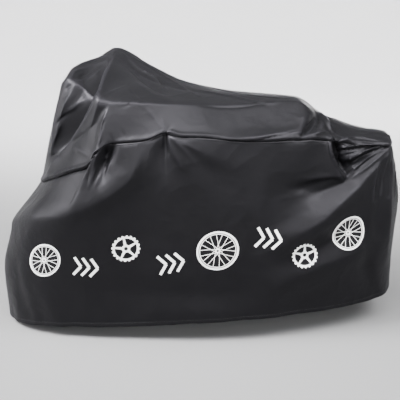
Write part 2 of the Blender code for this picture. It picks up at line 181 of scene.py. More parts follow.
# Columns of every line: x, distance from the middle, height.
HEM = Line(
    stations=(
        (-0.885, 0.175, 0.0), (-0.78, 0.225, 0.024), (-0.62, 0.285, 0.05), (-0.31, 0.325, 0.068),
        (0.0, 0.34, 0.094), (0.22, 0.325, 0.104), (0.44, 0.28, 0.107), (0.67, 0.205, 0.113),
        (0.87, 0.125, 0.125),
    ),
    front_round=0.15,
    rear_round=0.1,
)
BELLY = Line(
    stations=(
        (-0.903, 0.165, 0.24), (-0.6, 0.305, 0.275), (-0.3, 0.345, 0.315), (0.0, 0.355, 0.335),
        (0.3, 0.335, 0.3), (0.55, 0.275, 0.285), (0.75, 0.2, 0.3), (0.875, 0.125, 0.31),
    ),
    front_round=0.15,
    rear_round=0.1,
)
WAIST = Line(
    stations=(
        (-0.845, 0.15, 0.44), (-0.72, 0.26, 0.515), (-0.59, 0.335, 0.556), (-0.42, 0.368, 0.66),
        (-0.32, 0.37, 0.74), (-0.22, 0.358, 0.82), (-0.1, 0.35, 0.81), (0.05, 0.345, 0.71),
        (0.2, 0.338, 0.61), (0.35, 0.318, 0.53), (0.55, 0.27, 0.49), (0.75, 0.195, 0.54),
        (0.895, 0.12, 0.56),
    ),
    front_round=0.12,
    rear_round=0.1,
)
SEAM = Line(
    stations=(
        (-0.707, 0.03, 0.629), (-0.612, 0.185, 0.721), (-0.528, 0.262, 0.775),
        (-0.462, 0.312, 0.811), (-0.437, 0.332, 0.874), (-0.363, 0.325, 0.918),
        (-0.215, 0.332, 0.934), (-0.14, 0.322, 0.96), (-0.07, 0.328, 0.944), (0.0, 0.326, 0.943),
        (0.208, 0.29, 0.92), (0.42, 0.232, 0.915), (0.576, 0.16, 0.89), (0.69, 0.118, 0.852),
        (0.815, 0.088, 0.832), (0.842, 0.082, 0.826),
    ),
    front_round=0.03,
    rear_round=0.03,
)
CHEST_LEFT = Line(
    stations=(
        (-0.66, 0.035, 0.85), (-0.64, 0.06, 0.86), (-0.61, 0.068, 0.862), (-0.561, 0.135, 0.837),
        (-0.497, 0.23, 0.883), (-0.444, 0.268, 0.955), (-0.402, 0.302, 0.994), (-0.252, 0.29, 1.0),
        (0.0, 0.264, 0.992), (0.2, 0.215, 0.972), (0.42, 0.155, 0.97), (0.48, 0.138, 0.944),
        (0.545, 0.105, 0.892), (0.62, 0.088, 0.864), (0.72, 0.085, 0.853), (0.815, 0.075, 0.838),
        (0.84, 0.068, 0.832),
    ),
    front_round=0.03,
    rear_round=0.025,
)
SHOULDER_LEFT = Line(
    stations=(
        (-0.6, 0.03, 1.076), (-0.565, 0.035, 1.1), (-0.5, 0.06, 1.078), (-0.437, 0.23, 1.058),
        (-0.418, 0.264, 1.074), (-0.301, 0.258, 1.072), (-0.092, 0.22, 1.052),
        (0.195, 0.14, 1.027), (0.395, 0.085, 1.026), (0.45, 0.075, 1.008), (0.52, 0.06, 0.93),
        (0.59, 0.058, 0.88), (0.7, 0.058, 0.862), (0.815, 0.058, 0.845), (0.838, 0.054, 0.838),
    ),
    front_round=0.035,
    rear_round=0.025,
)
CHEST_RIGHT = Line(
    stations=(
        (-0.655, 0.035, 0.855), (-0.605, 0.072, 0.88), (-0.55, 0.15, 0.898), (-0.47, 0.235, 0.945),
        (-0.4, 0.302, 1.015), (-0.3, 0.318, 1.022), (-0.15, 0.302, 1.0), (0.0, 0.272, 0.988),
        (0.2, 0.215, 0.965), (0.42, 0.155, 0.958), (0.48, 0.136, 0.936), (0.545, 0.106, 0.892),
        (0.62, 0.09, 0.866), (0.72, 0.086, 0.854), (0.815, 0.075, 0.839), (0.84, 0.068, 0.832),
    ),
    front_round=0.03,
    rear_round=0.025,
)
SHOULDER_RIGHT = Line(
    stations=(
        (-0.605, 0.07, 1.06), (-0.56, 0.13, 1.115), (-0.46, 0.235, 1.14), (-0.375, 0.3, 1.172),
        (-0.225, 0.245, 1.106), (-0.044, 0.195, 1.034), (0.18, 0.14, 1.006), (0.395, 0.085, 1.004),
        (0.45, 0.075, 0.992), (0.52, 0.062, 0.94), (0.59, 0.062, 0.902), (0.7, 0.062, 0.864),
        (0.815, 0.062, 0.847), (0.838, 0.056, 0.838),
    ),
    front_round=0.035,
    rear_round=0.025,
)
TOP = Line(
    stations=(
        (-0.595, 0.0, 1.085), (-0.56, 0.0, 1.11), (-0.5, 0.0, 1.085), (-0.44, 0.0, 1.11),
        (-0.4, 0.0, 1.138), (-0.3, 0.0, 1.112), (-0.1, 0.0, 1.06), (0.18, 0.0, 1.028),
        (0.31, 0.0, 1.022), (0.42, 0.0, 1.016), (0.47, 0.0, 0.985), (0.525, 0.0, 0.944),
        (0.59, 0.0, 0.902), (0.7, 0.0, 0.868), (0.815, 0.0, 0.852), (0.84, 0.0, 0.842),
    ),
    front_round=0.03,
    rear_round=0.03,
)
LEFT_LINES = (HEM, BELLY, WAIST, SEAM, CHEST_LEFT, SHOULDER_LEFT)
RIGHT_LINES = (SHOULDER_RIGHT, CHEST_RIGHT, SEAM, WAIST, BELLY, HEM)
SEAM_STEP = LEFT_LINES.index(SEAM)
TOP_STEP = len(LEFT_LINES)

# Columns of every fold: x, y, z, half width, depth. The solids have these broad ones too.
FOLDS = (
    # the gutter before the handlebar, the ridge beside it and the nose
    Fold((
        (-0.413, 0.128, 1.147, 0.022, -0.022), (-0.437, 0.012, 1.113, 0.024, -0.038),
        (-0.474, -0.128, 1.054, 0.024, -0.036), (-0.532, -0.114, 0.93, 0.024, -0.03),
        (-0.605, -0.11, 0.803, 0.022, -0.014),
    )),
    Fold((
        (-0.386, 0.213, 1.161, 0.022, 0.008), (-0.405, -0.048, 1.125, 0.022, 0.01),
        (-0.438, -0.224, 1.065, 0.024, 0.012), (-0.559, -0.134, 0.845, 0.024, 0.012),
        (-0.667, -0.084, 0.695, 0.022, 0.004),
    )),
    Fold((
        (-0.534, -0.048, 1.072, 0.028, 0.016), (-0.57, -0.052, 1.001, 0.032, 0.034),
        (-0.602, -0.06, 0.915, 0.03, 0.03), (-0.636, -0.074, 0.807, 0.024, 0.008),
    )),
    # the fold over the near grip and the slack below it
    Fold((
        (-0.256, -0.087, 1.082, 0.026, 0.004), (-0.335, -0.172, 1.075, 0.026, 0.008),
        (-0.403, -0.232, 1.059, 0.024, 0.006),
    )),
    Fold((
        (-0.415, -0.264, 0.994, 0.022, -0.004), (-0.431, -0.287, 0.932, 0.022, -0.006),
        (-0.444, -0.3, 0.876, 0.022, -0.003),
    )),
    # the pocket where the seam turns under the grip, and its lip
    Fold((
        (-0.363, -0.328, 0.901, 0.022, -0.016), (-0.386, -0.333, 0.857, 0.026, -0.044),
        (-0.43, -0.347, 0.751, 0.028, -0.008),
    )),
    Fold((
        (-0.427, -0.333, 0.857, 0.022, 0.008), (-0.439, -0.337, 0.813, 0.022, 0.01),
        (-0.452, -0.343, 0.752, 0.022, 0.006),
    )),
    # the edge where the front flare turns down
    Fold((
        (-0.835, -0.026, 0.445, 0.05, 0.012), (-0.583, -0.308, 0.583, 0.05, 0.018),
        (-0.322, -0.364, 0.743, 0.045, 0.018), (-0.264, -0.345, 0.867, 0.04, 0.01),
    ), lean=1.3),
    # the pleat in the side seam and what fans out below it
    Fold((
        (-0.141, -0.323, 0.953, 0.026, -0.018), (-0.151, -0.339, 0.89, 0.032, -0.02),
        (-0.158, -0.351, 0.781, 0.042, -0.006),
    ), lean=1.2),
    Fold((
        (-0.125, -0.326, 0.944, 0.024, 0.01), (-0.077, -0.339, 0.876, 0.03, 0.012),
        (0.002, -0.343, 0.779, 0.045, 0.004),
    )),
    Fold((
        (-0.061, -0.333, 0.913, 0.022, 0.006), (0.041, -0.33, 0.863, 0.028, 0.008),
        (0.164, -0.315, 0.807, 0.04, 0.003),
    )),
    Fold((
        (-0.082, -0.336, 0.9, 0.022, -0.005), (0.001, -0.339, 0.823, 0.03, -0.006),
        (0.095, -0.336, 0.735, 0.045, -0.002),
    )),
    # the slack along the seam below the saddle
    Fold((
        (0.144, -0.292, 0.933, 0.022, 0.004), (0.294, -0.258, 0.923, 0.022, 0.009),
        (0.431, -0.209, 0.928, 0.022, 0.006),
    )),
    Fold((
        (0.532, -0.003, 0.932, 0.022, -0.008), (0.462, -0.182, 0.93, 0.022, -0.012),
        (0.416, -0.23, 0.906, 0.022, -0.006),
    )),
    Fold((
        (0.547, -0.012, 0.917, 0.022, 0.006), (0.511, -0.143, 0.913, 0.022, 0.012),
        (0.466, -0.21, 0.9, 0.022, 0.006),
    )),
    # the tuck behind the saddle, and the ridge and trough from it to the carrier's corner
    Fold((
        (0.558, -0.168, 0.876, 0.022, 0.012), (0.56, -0.186, 0.816, 0.024, 0.016),
        (0.598, -0.196, 0.719, 0.024, 0.014),
    ), lean=1.2),
    Fold((
        (0.585, -0.15, 0.882, 0.024, -0.028), (0.597, -0.171, 0.81, 0.03, -0.05),
        (0.638, -0.173, 0.744, 0.028, -0.03),
    )),
    Fold((
        (0.594, -0.18, 0.785, 0.022, 0.01), (0.67, -0.14, 0.805, 0.022, 0.012),
        (0.77, -0.102, 0.821, 0.022, 0.006),
    )),
    Fold((
        (0.605, -0.182, 0.762, 0.022, -0.01), (0.689, -0.137, 0.791, 0.022, -0.012),
        (0.779, -0.102, 0.813, 0.022, -0.006),
    )),
    # the bands that run down and forward from the carrier's corner
    Fold((
        (0.815, -0.094, 0.784, 0.03, 0.01), (0.538, -0.256, 0.565, 0.066, 0.04),
        (0.374, -0.315, 0.483, 0.08, 0.022),
    ), lean=1.3),
    Fold((
        (0.647, -0.183, 0.697, 0.026, -0.018), (0.525, -0.237, 0.671, 0.045, -0.024),
        (0.381, -0.284, 0.687, 0.06, -0.012),
    )),
    Fold((
        (0.769, -0.189, 0.409, 0.04, 0.01), (0.562, -0.269, 0.358, 0.06, 0.022),
        (0.345, -0.325, 0.282, 0.075, 0.012),
    ), lean=1.2),
    Fold((
        (0.752, -0.192, 0.517, 0.04, -0.01), (0.539, -0.273, 0.447, 0.05, -0.016),
        (0.375, -0.32, 0.372, 0.06, -0.01),
    )),
    # what hangs at the rear
    Fold((
        (0.805, -0.109, 0.741, 0.022, -0.008), (0.785, -0.155, 0.621, 0.024, -0.012),
        (0.773, -0.187, 0.396, 0.03, -0.01),
    )),
    Fold((
        (0.837, -0.092, 0.713, 0.022, 0.004), (0.835, -0.131, 0.562, 0.022, 0.008),
        (0.832, -0.126, 0.322, 0.026, 0.006),
    )),
    Fold((
        (0.733, -0.204, 0.454, 0.025, -0.004), (0.739, -0.202, 0.283, 0.035, -0.01),
        (0.785, -0.161, 0.144, 0.035, -0.01),
    )),
    # the slack low down
    Fold((
        (-0.195, -0.339, 0.166, 0.05, 0.004), (0.055, -0.342, 0.146, 0.06, 0.01),
        (0.318, -0.313, 0.142, 0.055, 0.005),
    )),
    Fold((
        (-0.414, -0.33, 0.233, 0.06, -0.004), (-0.107, -0.347, 0.233, 0.07, -0.01),
        (0.174, -0.341, 0.239, 0.07, -0.006),
    )),
    Fold((
        (-0.821, -0.171, 0.308, 0.035, -0.004), (-0.806, -0.197, 0.185, 0.04, -0.009),
        (-0.777, -0.219, 0.072, 0.035, -0.009),
    )),
    Fold((
        (-0.707, -0.269, 0.316, 0.05, 0.003), (-0.67, -0.279, 0.199, 0.06, 0.008),
        (-0.615, -0.288, 0.08, 0.05, 0.008),
    )),
    # the taut roof between the grips and the saddle
    Fold((
        (-0.332, 0.156, 1.144, 0.024, -0.006), (-0.22, 0.045, 1.092, 0.026, -0.01),
        (0.108, -0.03, 1.033, 0.024, -0.003),
    )),
    Fold((
        (-0.35, 0.055, 1.135, 0.024, 0.006), (-0.254, -0.107, 1.09, 0.028, 0.01),
        (-0.146, -0.181, 1.061, 0.026, 0.004),
    )),
    # the other side hangs in its own folds
    Fold((
        (-0.4, 0.29, 1.12, 0.03, 0.01), (-0.47, 0.26, 0.98, 0.04, 0.018),
        (-0.54, 0.215, 0.8, 0.05, 0.01),
    )),
    Fold((
        (-0.463, 0.121, 1.12, 0.035, -0.004), (-0.513, -0.134, 1.045, 0.04, -0.01),
        (-0.587, -0.105, 0.851, 0.035, -0.006),
    )),
    Fold((
        (-0.34, 0.3, 1.06, 0.035, -0.01), (-0.335, 0.345, 0.86, 0.05, -0.026),
        (-0.345, 0.36, 0.56, 0.065, -0.01),
    )),
    Fold((
        (-0.28, 0.29, 1.02, 0.035, 0.006), (-0.2, 0.345, 0.82, 0.05, 0.016),
        (-0.1, 0.355, 0.42, 0.075, 0.01),
    )),
    Fold((
        (-0.02, 0.325, 0.94, 0.03, -0.006), (0.02, 0.345, 0.7, 0.05, -0.014),
        (0.06, 0.355, 0.32, 0.07, -0.01),
    )),
    Fold((
        (0.21, 0.29, 0.91, 0.035, 0.006), (0.19, 0.335, 0.62, 0.055, 0.014),
        (0.17, 0.33, 0.24, 0.07, 0.008),
    )),
    Fold((
        (0.56, 0.16, 0.89, 0.026, -0.006), (0.6, 0.185, 0.78, 0.034, -0.026),
        (0.64, 0.215, 0.64, 0.04, -0.008),
    )),
    Fold((
        (0.81, 0.09, 0.79, 0.03, 0.006), (0.68, 0.19, 0.64, 0.05, 0.02),
        (0.5, 0.275, 0.5, 0.065, 0.02), (0.34, 0.32, 0.4, 0.075, 0.008),
    ), lean=0.8),
    Fold((
        (0.76, 0.19, 0.48, 0.045, -0.008), (0.54, 0.275, 0.35, 0.06, -0.014),
        (0.32, 0.325, 0.23, 0.075, -0.006),
    )),
    Fold((
        (-0.8, 0.17, 0.48, 0.045, 0.01), (-0.6, 0.29, 0.52, 0.05, 0.018),
        (-0.43, 0.345, 0.6, 0.05, 0.016), (-0.33, 0.355, 0.7, 0.045, 0.008),
    ), lean=0.8),
    Fold((
        (-0.64, 0.285, 0.2, 0.055, -0.004), (-0.38, 0.325, 0.17, 0.065, -0.01),
        (-0.1, 0.34, 0.18, 0.065, -0.006),
    )),
    Fold((
        (0.815, 0.1, 0.74, 0.02, -0.006), (0.8, 0.16, 0.56, 0.028, -0.012),
        (0.785, 0.17, 0.3, 0.032, -0.01),
    )),
    Fold((
        (-0.43, 0.2, 1.145, 0.03, 0.004), (-0.483, 0.181, 1.128, 0.035, 0.01),
        (-0.533, 0.109, 1.115, 0.035, 0.01), (-0.563, -0.043, 1.097, 0.03, 0.004),
    )),
)


def soft(*stations: Row) -> PictureFold:
    """A soft fold on the picture."""
    return PictureFold(stations, Crease.SOFT)


def firm(*stations: Row, lean: float = 1.0, roll: float = 0.0) -> PictureFold:
    """A firm fold on the picture."""
    return PictureFold(stations, Crease.FIRM, lean, roll)


def sharp(*stations: Row, lean: float = 1.0, roll: float = 0.0) -> PictureFold:
    """A sharp fold on the picture."""
    return PictureFold(stations, Crease.SHARP, lean, roll)


# The creases that are finer than the solids' faces, on the side that the picture shows. Columns of
# every fold: pixels from the left, pixels from the top, half width and depth in millimetres.
PICTURE_FOLDS = (
    # the ridge beside the gutter, and the taut crease from it to the rear
    sharp(
        (115.4, 54.2, 9, 2), (104.6, 77.2, 10, 5), (93.8, 101.4, 10, 5), (71.4, 141.0, 10, 5),
        (44.6, 178.0, 9, 2),
        lean=2.0, roll=0.4,
    ),
    sharp((98.2, 97.6, 5, 0.5), (112.2, 91.2, 5, 2.5), (127.6, 84.8, 5, 0.5)),
    firm((128.8, 87.4, 6, -0.5), (135.2, 96.3, 6, -2.5), (140.9, 102.1, 6, -1)),
    firm((118.6, 107.2, 6, -0.5), (127.6, 105.3, 6, -2.5), (135.2, 103.3, 6, -1)),
    firm((141.6, 105.3, 7, 1), (150.5, 112.9, 8, 2.5), (163.3, 129.5, 8, 2)),
    # the nose
    firm((91.8, 72.1, 6, -0.8), (79.1, 79.1, 6, -4), (67.6, 88.7, 6, -1.6)),
    firm((88.0, 64.4, 6, 0.8), (76.5, 70.8, 6, 3.2), (70.2, 78.5, 6, 1.6)),
    sharp((69.5, 111.6, 7, -3.2), (61.2, 118.0, 7, -6.4), (55.5, 124.4, 6, -1.6)),
    firm((81.6, 101.4, 9, 4.8), (71.4, 109.1, 9, 6.4), (61.2, 116.7, 8, 1.6)),
    sharp((49.7, 156.3, 6, -1.6), (56.1, 154.4, 7, -6.4), (62.5, 155.6, 6, -1.6)),
    firm((59.9, 125.7, 8, 3.2), (54.8, 139.7, 8, 6.4), (51.0, 152.4, 7, 1.6)),
    # what runs down from the near grip to the seam's corner
    sharp((104.6, 119.3, 6, -0.7), (102.7, 124.4, 6, -4.2), (102.0, 130.8, 6, -1.4)),
    sharp((102.0, 118.0, 6, -0.7), (84.2, 134.0, 7, -5.6), (71.4, 142.9, 6, -2.8)),
    firm((102.0, 132.0, 7, 1.4), (99.5, 142.2, 7, 4.9), (97.6, 150.5, 6, 1.4)),
    sharp((70.4, 145.2, 6, 1.4), (81.6, 151.2, 6, 7), (90.3, 156.3, 6, 2.8)),
    firm((108.4, 134.6, 5, -0.7), (111.6, 138.4, 5, -2.8), (114.2, 142.2, 5, -0.7)),
    firm((119.9, 129.5, 5, -0.7), (123.1, 134.0, 5, -2.8), (125.6, 139.7, 5, -0.7)),
    # the pocket under the near grip
    sharp((113.3, 148.0, 5, 2), (108.4, 155.6, 6, 9), (102.7, 159.5, 5, 3)),
    firm((89.9, 169.7, 6, -1), (88.0, 178.0, 7, -4), (86.7, 188.2, 7, -1)),
    firm((95.0, 168.4, 6, 2), (92.5, 176.7, 7, 4), (89.3, 186.9, 7, 1)),
    firm((98.9, 171.6, 7, -1), (96.3, 179.2, 8, -2), (93.8, 188.2, 8, -1)),
    firm((114.2, 151.2, 8, 3), (110.3, 165.2, 10, 8), (105.9, 174.1, 8, 2), lean=1.6),
    soft((105.0, 166.0, 9, 1), (99.0, 178.0, 12, 7), (94.0, 189.0, 10, 2)),
    # the roof's streaks
    sharp(
        (122.4, 53.0, 6, 1.8), (140.3, 69.5, 7, 7.2), (156.9, 79.7, 7, 7.2), (164.5, 93.8, 6, 1.8),
    ),
    firm(
        (133.9, 57.4, 6, 1.8), (154.3, 69.5, 7, 5.4), (178.6, 84.8, 7, 5.4), (199.0, 96.3, 7, 1.8),
    ),
    firm((127.6, 68.3, 9, -1.8), (146.7, 84.8, 10, -7.2), (162.0, 93.8, 8, -1.8)),
    sharp((158.2, 78.5, 5, -1.8), (164.4, 86.5, 5, -5.4), (169.6, 95.1, 5, -0.9)),
    firm((148.0, 61.9, 7, -0.9), (169.6, 73.4, 7, -5.4), (199.0, 84.8, 8, -1.8)),
    firm(
        (199.8, 84.4, 8, -1.8), (219.1, 89.3, 8, -5.4), (238.3, 93.8, 8, -5.4),
        (270.2, 97.6, 8, -3.6), (294.4, 99.5, 7, -0.9),
    ),
    firm(
        (200.0, 89.9, 9, 1.8), (231.9, 96.3, 9, 5.4), (263.8, 102.7, 9, 5.4),
        (281.6, 101.7, 8, 0.9),
    ),
    firm(
        (200.0, 105.3, 9, -1.8), (223.0, 107.2, 9, -5.4), (248.5, 105.9, 9, -5.4),
        (274.0, 101.7, 9, -1.8),
    ),
    # the pleat and its fan
    firm(
        (165.4, 133.6, 7, -5.4), (165.6, 144.8, 8, -10.8), (165.6, 157.6, 8, -6.8),
        (167.1, 180.5, 10, -1.4),
    ),
    firm((169.0, 138.4, 7, 4.1), (174.1, 153.7, 8, 6.8), (182.4, 167.8, 9, 1.4)),
    firm((171.6, 137.1, 7, 2.7), (182.4, 148.0, 8, 4.7), (195.2, 162.7, 9, 1.4)),
    firm((176.0, 139.9, 7, 1.4), (187.5, 144.8, 8, 4.1), (200.0, 151.2, 9, 1.4)),
    firm((162.2, 136.1, 6, -2.7), (154.3, 139.9, 6, -4.1), (144.1, 142.2, 6, -1.4)),
    firm((165.3, 131.4, 7, 2.7), (163.9, 124.4, 7, 2.7), (161.0, 118.0, 7, 0.7)),
    # the slack along the seam
    firm(
        (212.8, 138.8, 7, 1), (242.1, 138.4, 8, 6), (261.2, 136.5, 8, 5), (277.8, 132.8, 6, 1),
        lean=0.7, roll=0.2,
    ),
    sharp(
        (245.9, 142.2, 6, -1), (266.3, 138.4, 6, -5), (284.2, 133.8, 6, -5), (302.0, 129.7, 6, -1),
    ),
    firm((215.3, 140.3, 5, -0.5), (225.5, 141.2, 5, -2), (237.0, 140.7, 5, -0.5)),
    # the creases behind the saddle
    sharp((313.9, 118.0, 8, -5), (308.4, 126.3, 9, -18), (302.0, 135.9, 8, -8)),
    sharp((318.6, 118.0, 5, -2), (317.6, 124.4, 5, -8), (315.8, 131.4, 5, -2)),
    sharp((316.3, 119.3, 6, 2), (312.9, 126.9, 7, 9), (307.8, 132.7, 6, 3)),
    sharp((321.2, 113.5, 12, 5), (326.3, 122.5, 14, 17), (331.1, 131.8, 12, 9), lean=1.4),
    firm((326.3, 114.8, 8, -2), (332.0, 123.8, 9, -9), (335.5, 131.4, 8, -5)),
    sharp((330.7, 132.3, 6, 3), (319.9, 132.8, 6, 8), (306.5, 135.9, 6, 2)),
    # the tuck's edge and its hollow
    sharp(
        (328.6, 139.7, 6, 4), (330.4, 151.2, 6, 10), (335.2, 163.3, 6, 11), (344.1, 176.7, 6, 4),
        lean=1.6, roll=0.5,
    ),
    firm(
        (332.7, 139.9, 9, -8), (335.5, 149.9, 10, -20), (339.0, 161.4, 10, -20),
        (346.0, 173.5, 8, -8),
    ),
    # the fan of folds from the tuck to the carrier's corner
    sharp(
        (337.1, 142.2, 5, 3), (344.1, 139.9, 6, 9), (356.9, 138.4, 6, 10), (370.9, 139.9, 6, 7),
        (388.8, 144.4, 5, 1),
    ),
    sharp((338.4, 148.0, 5, 3), (346.7, 147.1, 5, 8), (365.8, 144.8, 5, 7), (388.8, 145.1, 5, 1)),
    sharp((334.9, 152.2, 4, 2), (340.9, 154.1, 4, 6), (346.7, 156.3, 4, 1)),
    sharp(
        (337.7, 161.5, 5, 2), (350.5, 157.6, 6, 11), (364.5, 150.5, 6, 10), (382.4, 145.4, 5, 2),
    ),
    sharp(
        (346.7, 176.7, 6, 5), (356.9, 167.1, 7, 13), (370.9, 156.3, 7, 10), (389.4, 146.7, 6, 1),
    ),
    sharp((352.4, 178.0, 6, 3), (365.8, 168.4, 6, 9), (378.6, 157.6, 6, 7), (389.8, 148.0, 6, 1)),
    firm(
        (338.4, 150.5, 5, -3), (350.5, 149.3, 6, -10), (365.8, 146.7, 6, -9),
        (381.1, 145.1, 5, -1),
    ),
    firm(
        (342.2, 155.6, 5, -4), (353.1, 153.1, 6, -9), (367.1, 148.4, 5, -6), (381.1, 145.4, 5, -1),
    ),
    firm(
        (342.2, 168.4, 6, -6), (355.6, 160.7, 7, -14), (372.2, 151.8, 6, -8),
        (387.5, 146.1, 5, -1),
    ),
    firm((349.9, 174.1, 5, -2), (364.5, 162.7, 6, -8), (378.6, 151.8, 6, -4)),
    # the bands below them and what hangs at the rear
    soft((335.2, 178.6, 14, -2), (308.4, 186.2, 18, -8), (289.3, 187.9, 18, -2)),
    soft((339.0, 176.4, 10, 2), (322.4, 176.7, 12, 5), (296.9, 178.0, 14, 1)),
    firm((383.4, 158.8, 7, -2), (377.9, 176.7, 7, -8), (375.4, 199.6, 8, -6)),
    firm((380.5, 163.9, 6, 1), (374.1, 183.1, 7, 5), (372.2, 199.6, 7, 3)),
    firm((388.5, 152.4, 7, 1), (383.7, 170.3, 7, 6), (381.1, 195.8, 8, 4)),
    firm((391.6, 149.9, 6, -1), (390.7, 170.3, 6, -6), (388.8, 195.8, 7, -4)),
    firm((393.2, 149.9, 6, 1), (394.9, 170.2, 7, 5), (395.2, 195.8, 7, 3)),
    # the streaks over the front and the edge below them
    sharp((77.0, 66.5, 5, -1), (94.0, 61.0, 6, -4), (109.4, 57.3, 5, -1)),
    firm((74.0, 72.0, 5, 1), (90.0, 66.0, 6, 4), (105.0, 61.0, 5, 1)),
    sharp((71.0, 80.0, 5, -1), (87.0, 73.0, 6, -5), (102.0, 64.0, 5, -1.5)),
    firm((80.0, 81.0, 6, 1), (92.0, 76.0, 7, 4), (103.0, 68.0, 6, 1)),
    sharp((64.0, 90.0, 5, -1), (71.0, 86.0, 5, -4), (78.0, 83.0, 5, -1)),
    sharp((62.0, 97.0, 5, -1), (67.0, 94.0, 5, -4), (72.0, 91.0, 5, -1)),
    sharp((56.0, 126.0, 5, -1), (61.0, 119.0, 5, -4), (69.0, 112.0, 5, -1)),
    sharp((48.0, 157.0, 5, -1), (53.0, 155.0, 5, -5), (60.0, 154.0, 5, -1)),
    firm((71.0, 83.0, 9, 3), (83.0, 88.0, 10, 4), (92.2, 98.2, 9, 1), lean=0.6),
)


# ---- sums on curves and grids


def smooth_through(xs: np.ndarray, ys: np.ndarray, x: np.ndarray) -> np.ndarray:
    """A curve through the rows of a table that never swings past them.

    Args:
        xs: rising places of the table's rows.
        ys: values of the table's rows.
        x: places to read.

    Returns:
        The curve's values at x.
    """
    step = np.diff(xs)
    rise = np.diff(ys) / step
    slope = np.zeros(len(xs))
    same_way = rise[:-1] * rise[1:] > 0
    before, after = 2 * step[1:] + step[:-1], step[1:] + 2 * step[:-1]
    safe = np.where(same_way, rise[:-1] * rise[1:], 1.0)
    mean = (before + after) * safe / (before * rise[1:] + after * rise[:-1] + 1e-30)
    slope[1:-1] = np.where(same_way, mean, 0.0)
    slope[0], slope[-1] = rise[0], rise[-1]
    k = np.clip(np.searchsorted(xs, x) - 1, 0, len(step) - 1)
    t = (x - xs[k]) / step[k]
    a, b = ys[k], ys[k + 1]
    return (
        a * (1 + 2 * t) * (1 - t) ** 2
        + b * t * t * (3 - 2 * t)
        + step[k] * (slope[k] * t * (1 - t) ** 2 - slope[k + 1] * t * t * (1 - t))
    )


def round_end(distance: np.ndarray, length: float) -> np.ndarray:
    """Share of the full width at a distance from an end that is round over a length."""
    t = np.clip(1 - distance / length, 0, 1)
    return np.sqrt(1 - t * t)


def curve_through(rows: np.ndarray, steps: int) -> np.ndarray:
    """An even curve through a fold's stations.

    Args:
        rows: the stations, any number of columns.
        steps: pieces between two stations.

    Returns:
        Rows along the curve, with the same columns.
    """
    wide = np.concatenate([[2 * rows[0] - rows[1]], rows, [2 * rows[-1] - rows[-2]]])
    t = np.linspace(0, 1, steps + 1)[:-1, None]
    spans = []
    for a, b, c, d in zip(wide[:-3], wide[1:-2], wide[2:-1], wide[3:]):
        slope = (c - a) * t + (2 * a - 5 * b + 4 * c - d) * t**2 + (3 * b - a - 3 * c + d) * t**3
        spans.append(b + slope / 2)
    return np.concatenate(spans + [rows[-1:]])


def smooth_step(value: np.ndarray, low: float, high: float) -> np.ndarray:
    """0 below low, 1 above high, and smooth between them."""
    t = np.clip((value - low) / (high - low), 0, 1)
    return t * t * (3 - 2 * t)


def bell(distance: np.ndarray, width: float) -> np.ndarray:
    """1 at distance 0, falling off over a width."""
    return np.exp(-((distance / width) ** 2))


def unit(vectors: np.ndarray) -> np.ndarray:
    """The vectors at length 1."""
    return vectors / np.maximum(np.linalg.norm(vectors, axis=-1, keepdims=True), 1e-12)


def run_along(points: np.ndarray, axis: int) -> np.ndarray:
    """Length run so far at each point of a grid.

    Args:
        points: the grid, as (row, column, xyz).
        axis: 0 to run down the columns, 1 to run along the rows.

    Returns:
        A length for each point, 0 at the first.
    """
    steps = np.linalg.norm(np.diff(points, axis=axis), axis=-1)
    start = np.zeros_like(np.take(steps, [0], axis=axis))
    return np.concatenate([start, np.cumsum(steps, axis=axis)], axis=axis)


def read_columns(
    places: np.ndarray | list[np.ndarray], run: np.ndarray, values: np.ndarray
) -> np.ndarray:
    """Reads every column of a grid at places of its own.

    Args:
        places: one place for each column, or a list of them for each.
        run: rising run of each point down its column, as (row, column).
        values: what is read, as (row, column, part).

    Returns:
        The values as (column, part), or as (column, part, place) for lists.
    """
    return np.array([
        [np.interp(place, run[:, k], values[:, k, part]) for part in range(values.shape[2])]
        for k, place in enumerate(places)
    ])


def noise_at(points: np.ndarray, size: float | Row, seed: int) -> np.ndarray:
    """Smooth noise from about -1 to 1.

    Args:
        points: places, as (..., xyz).
        size: size of the noise's bumps, one number or one for each axis.
        seed: picks another stretch of the same noise.

    Returns:
        A value for each place.
    """
    places = (points / np.asarray(size)).reshape(-1, 3) + (seed * 17.3, seed * 5.9, seed * 11.1)
    values = [noise.noise(Vector(place)) for place in places.tolist()]
    return np.array(values).reshape(points.shape[:-1])


def crumpled(points: np.ndarray, size: float | Row, seed: int) -> np.ndarray:
    """Noise with thin ridges, as in cloth that was folded small.

    Args:
        points: places, as (..., xyz).
        size: size of the crumples, one number or one for each axis.
        seed: picks another stretch of the same noise.

    Returns:
        A value from about -1 to 1 for each place.
    """
    warp = noise_at(points, np.asarray(size) * 2.1, seed + 50)[..., None]
    bent = points + warp * np.asarray(size) * 0.6
    return 1 - 2 * np.sqrt(np.abs(noise_at(bent, size, seed)))


# ---- the cloth as one grid


HEM_STITCHES = 0.0175  # from the hem's edge to its row of stitches


@dataclass(frozen=True)
class SeamPull:
    """How the sheets meet along a side seam, at one place.

    x: the place
    bulge: how far the crown puffs out above the seam
    sink: how far the skirt sinks in below it
    """

    x: float
    bulge: float
    sink: float


@dataclass(frozen=True)
class Ripple:
    """Slack that is spread over the cloth as even noise.

    size: the size of one wave, one number or one for each axis
    height: how far it lifts the cloth
    seed: picks another stretch of the same noise
    """

    size: float | Row
    height: float
    seed: int


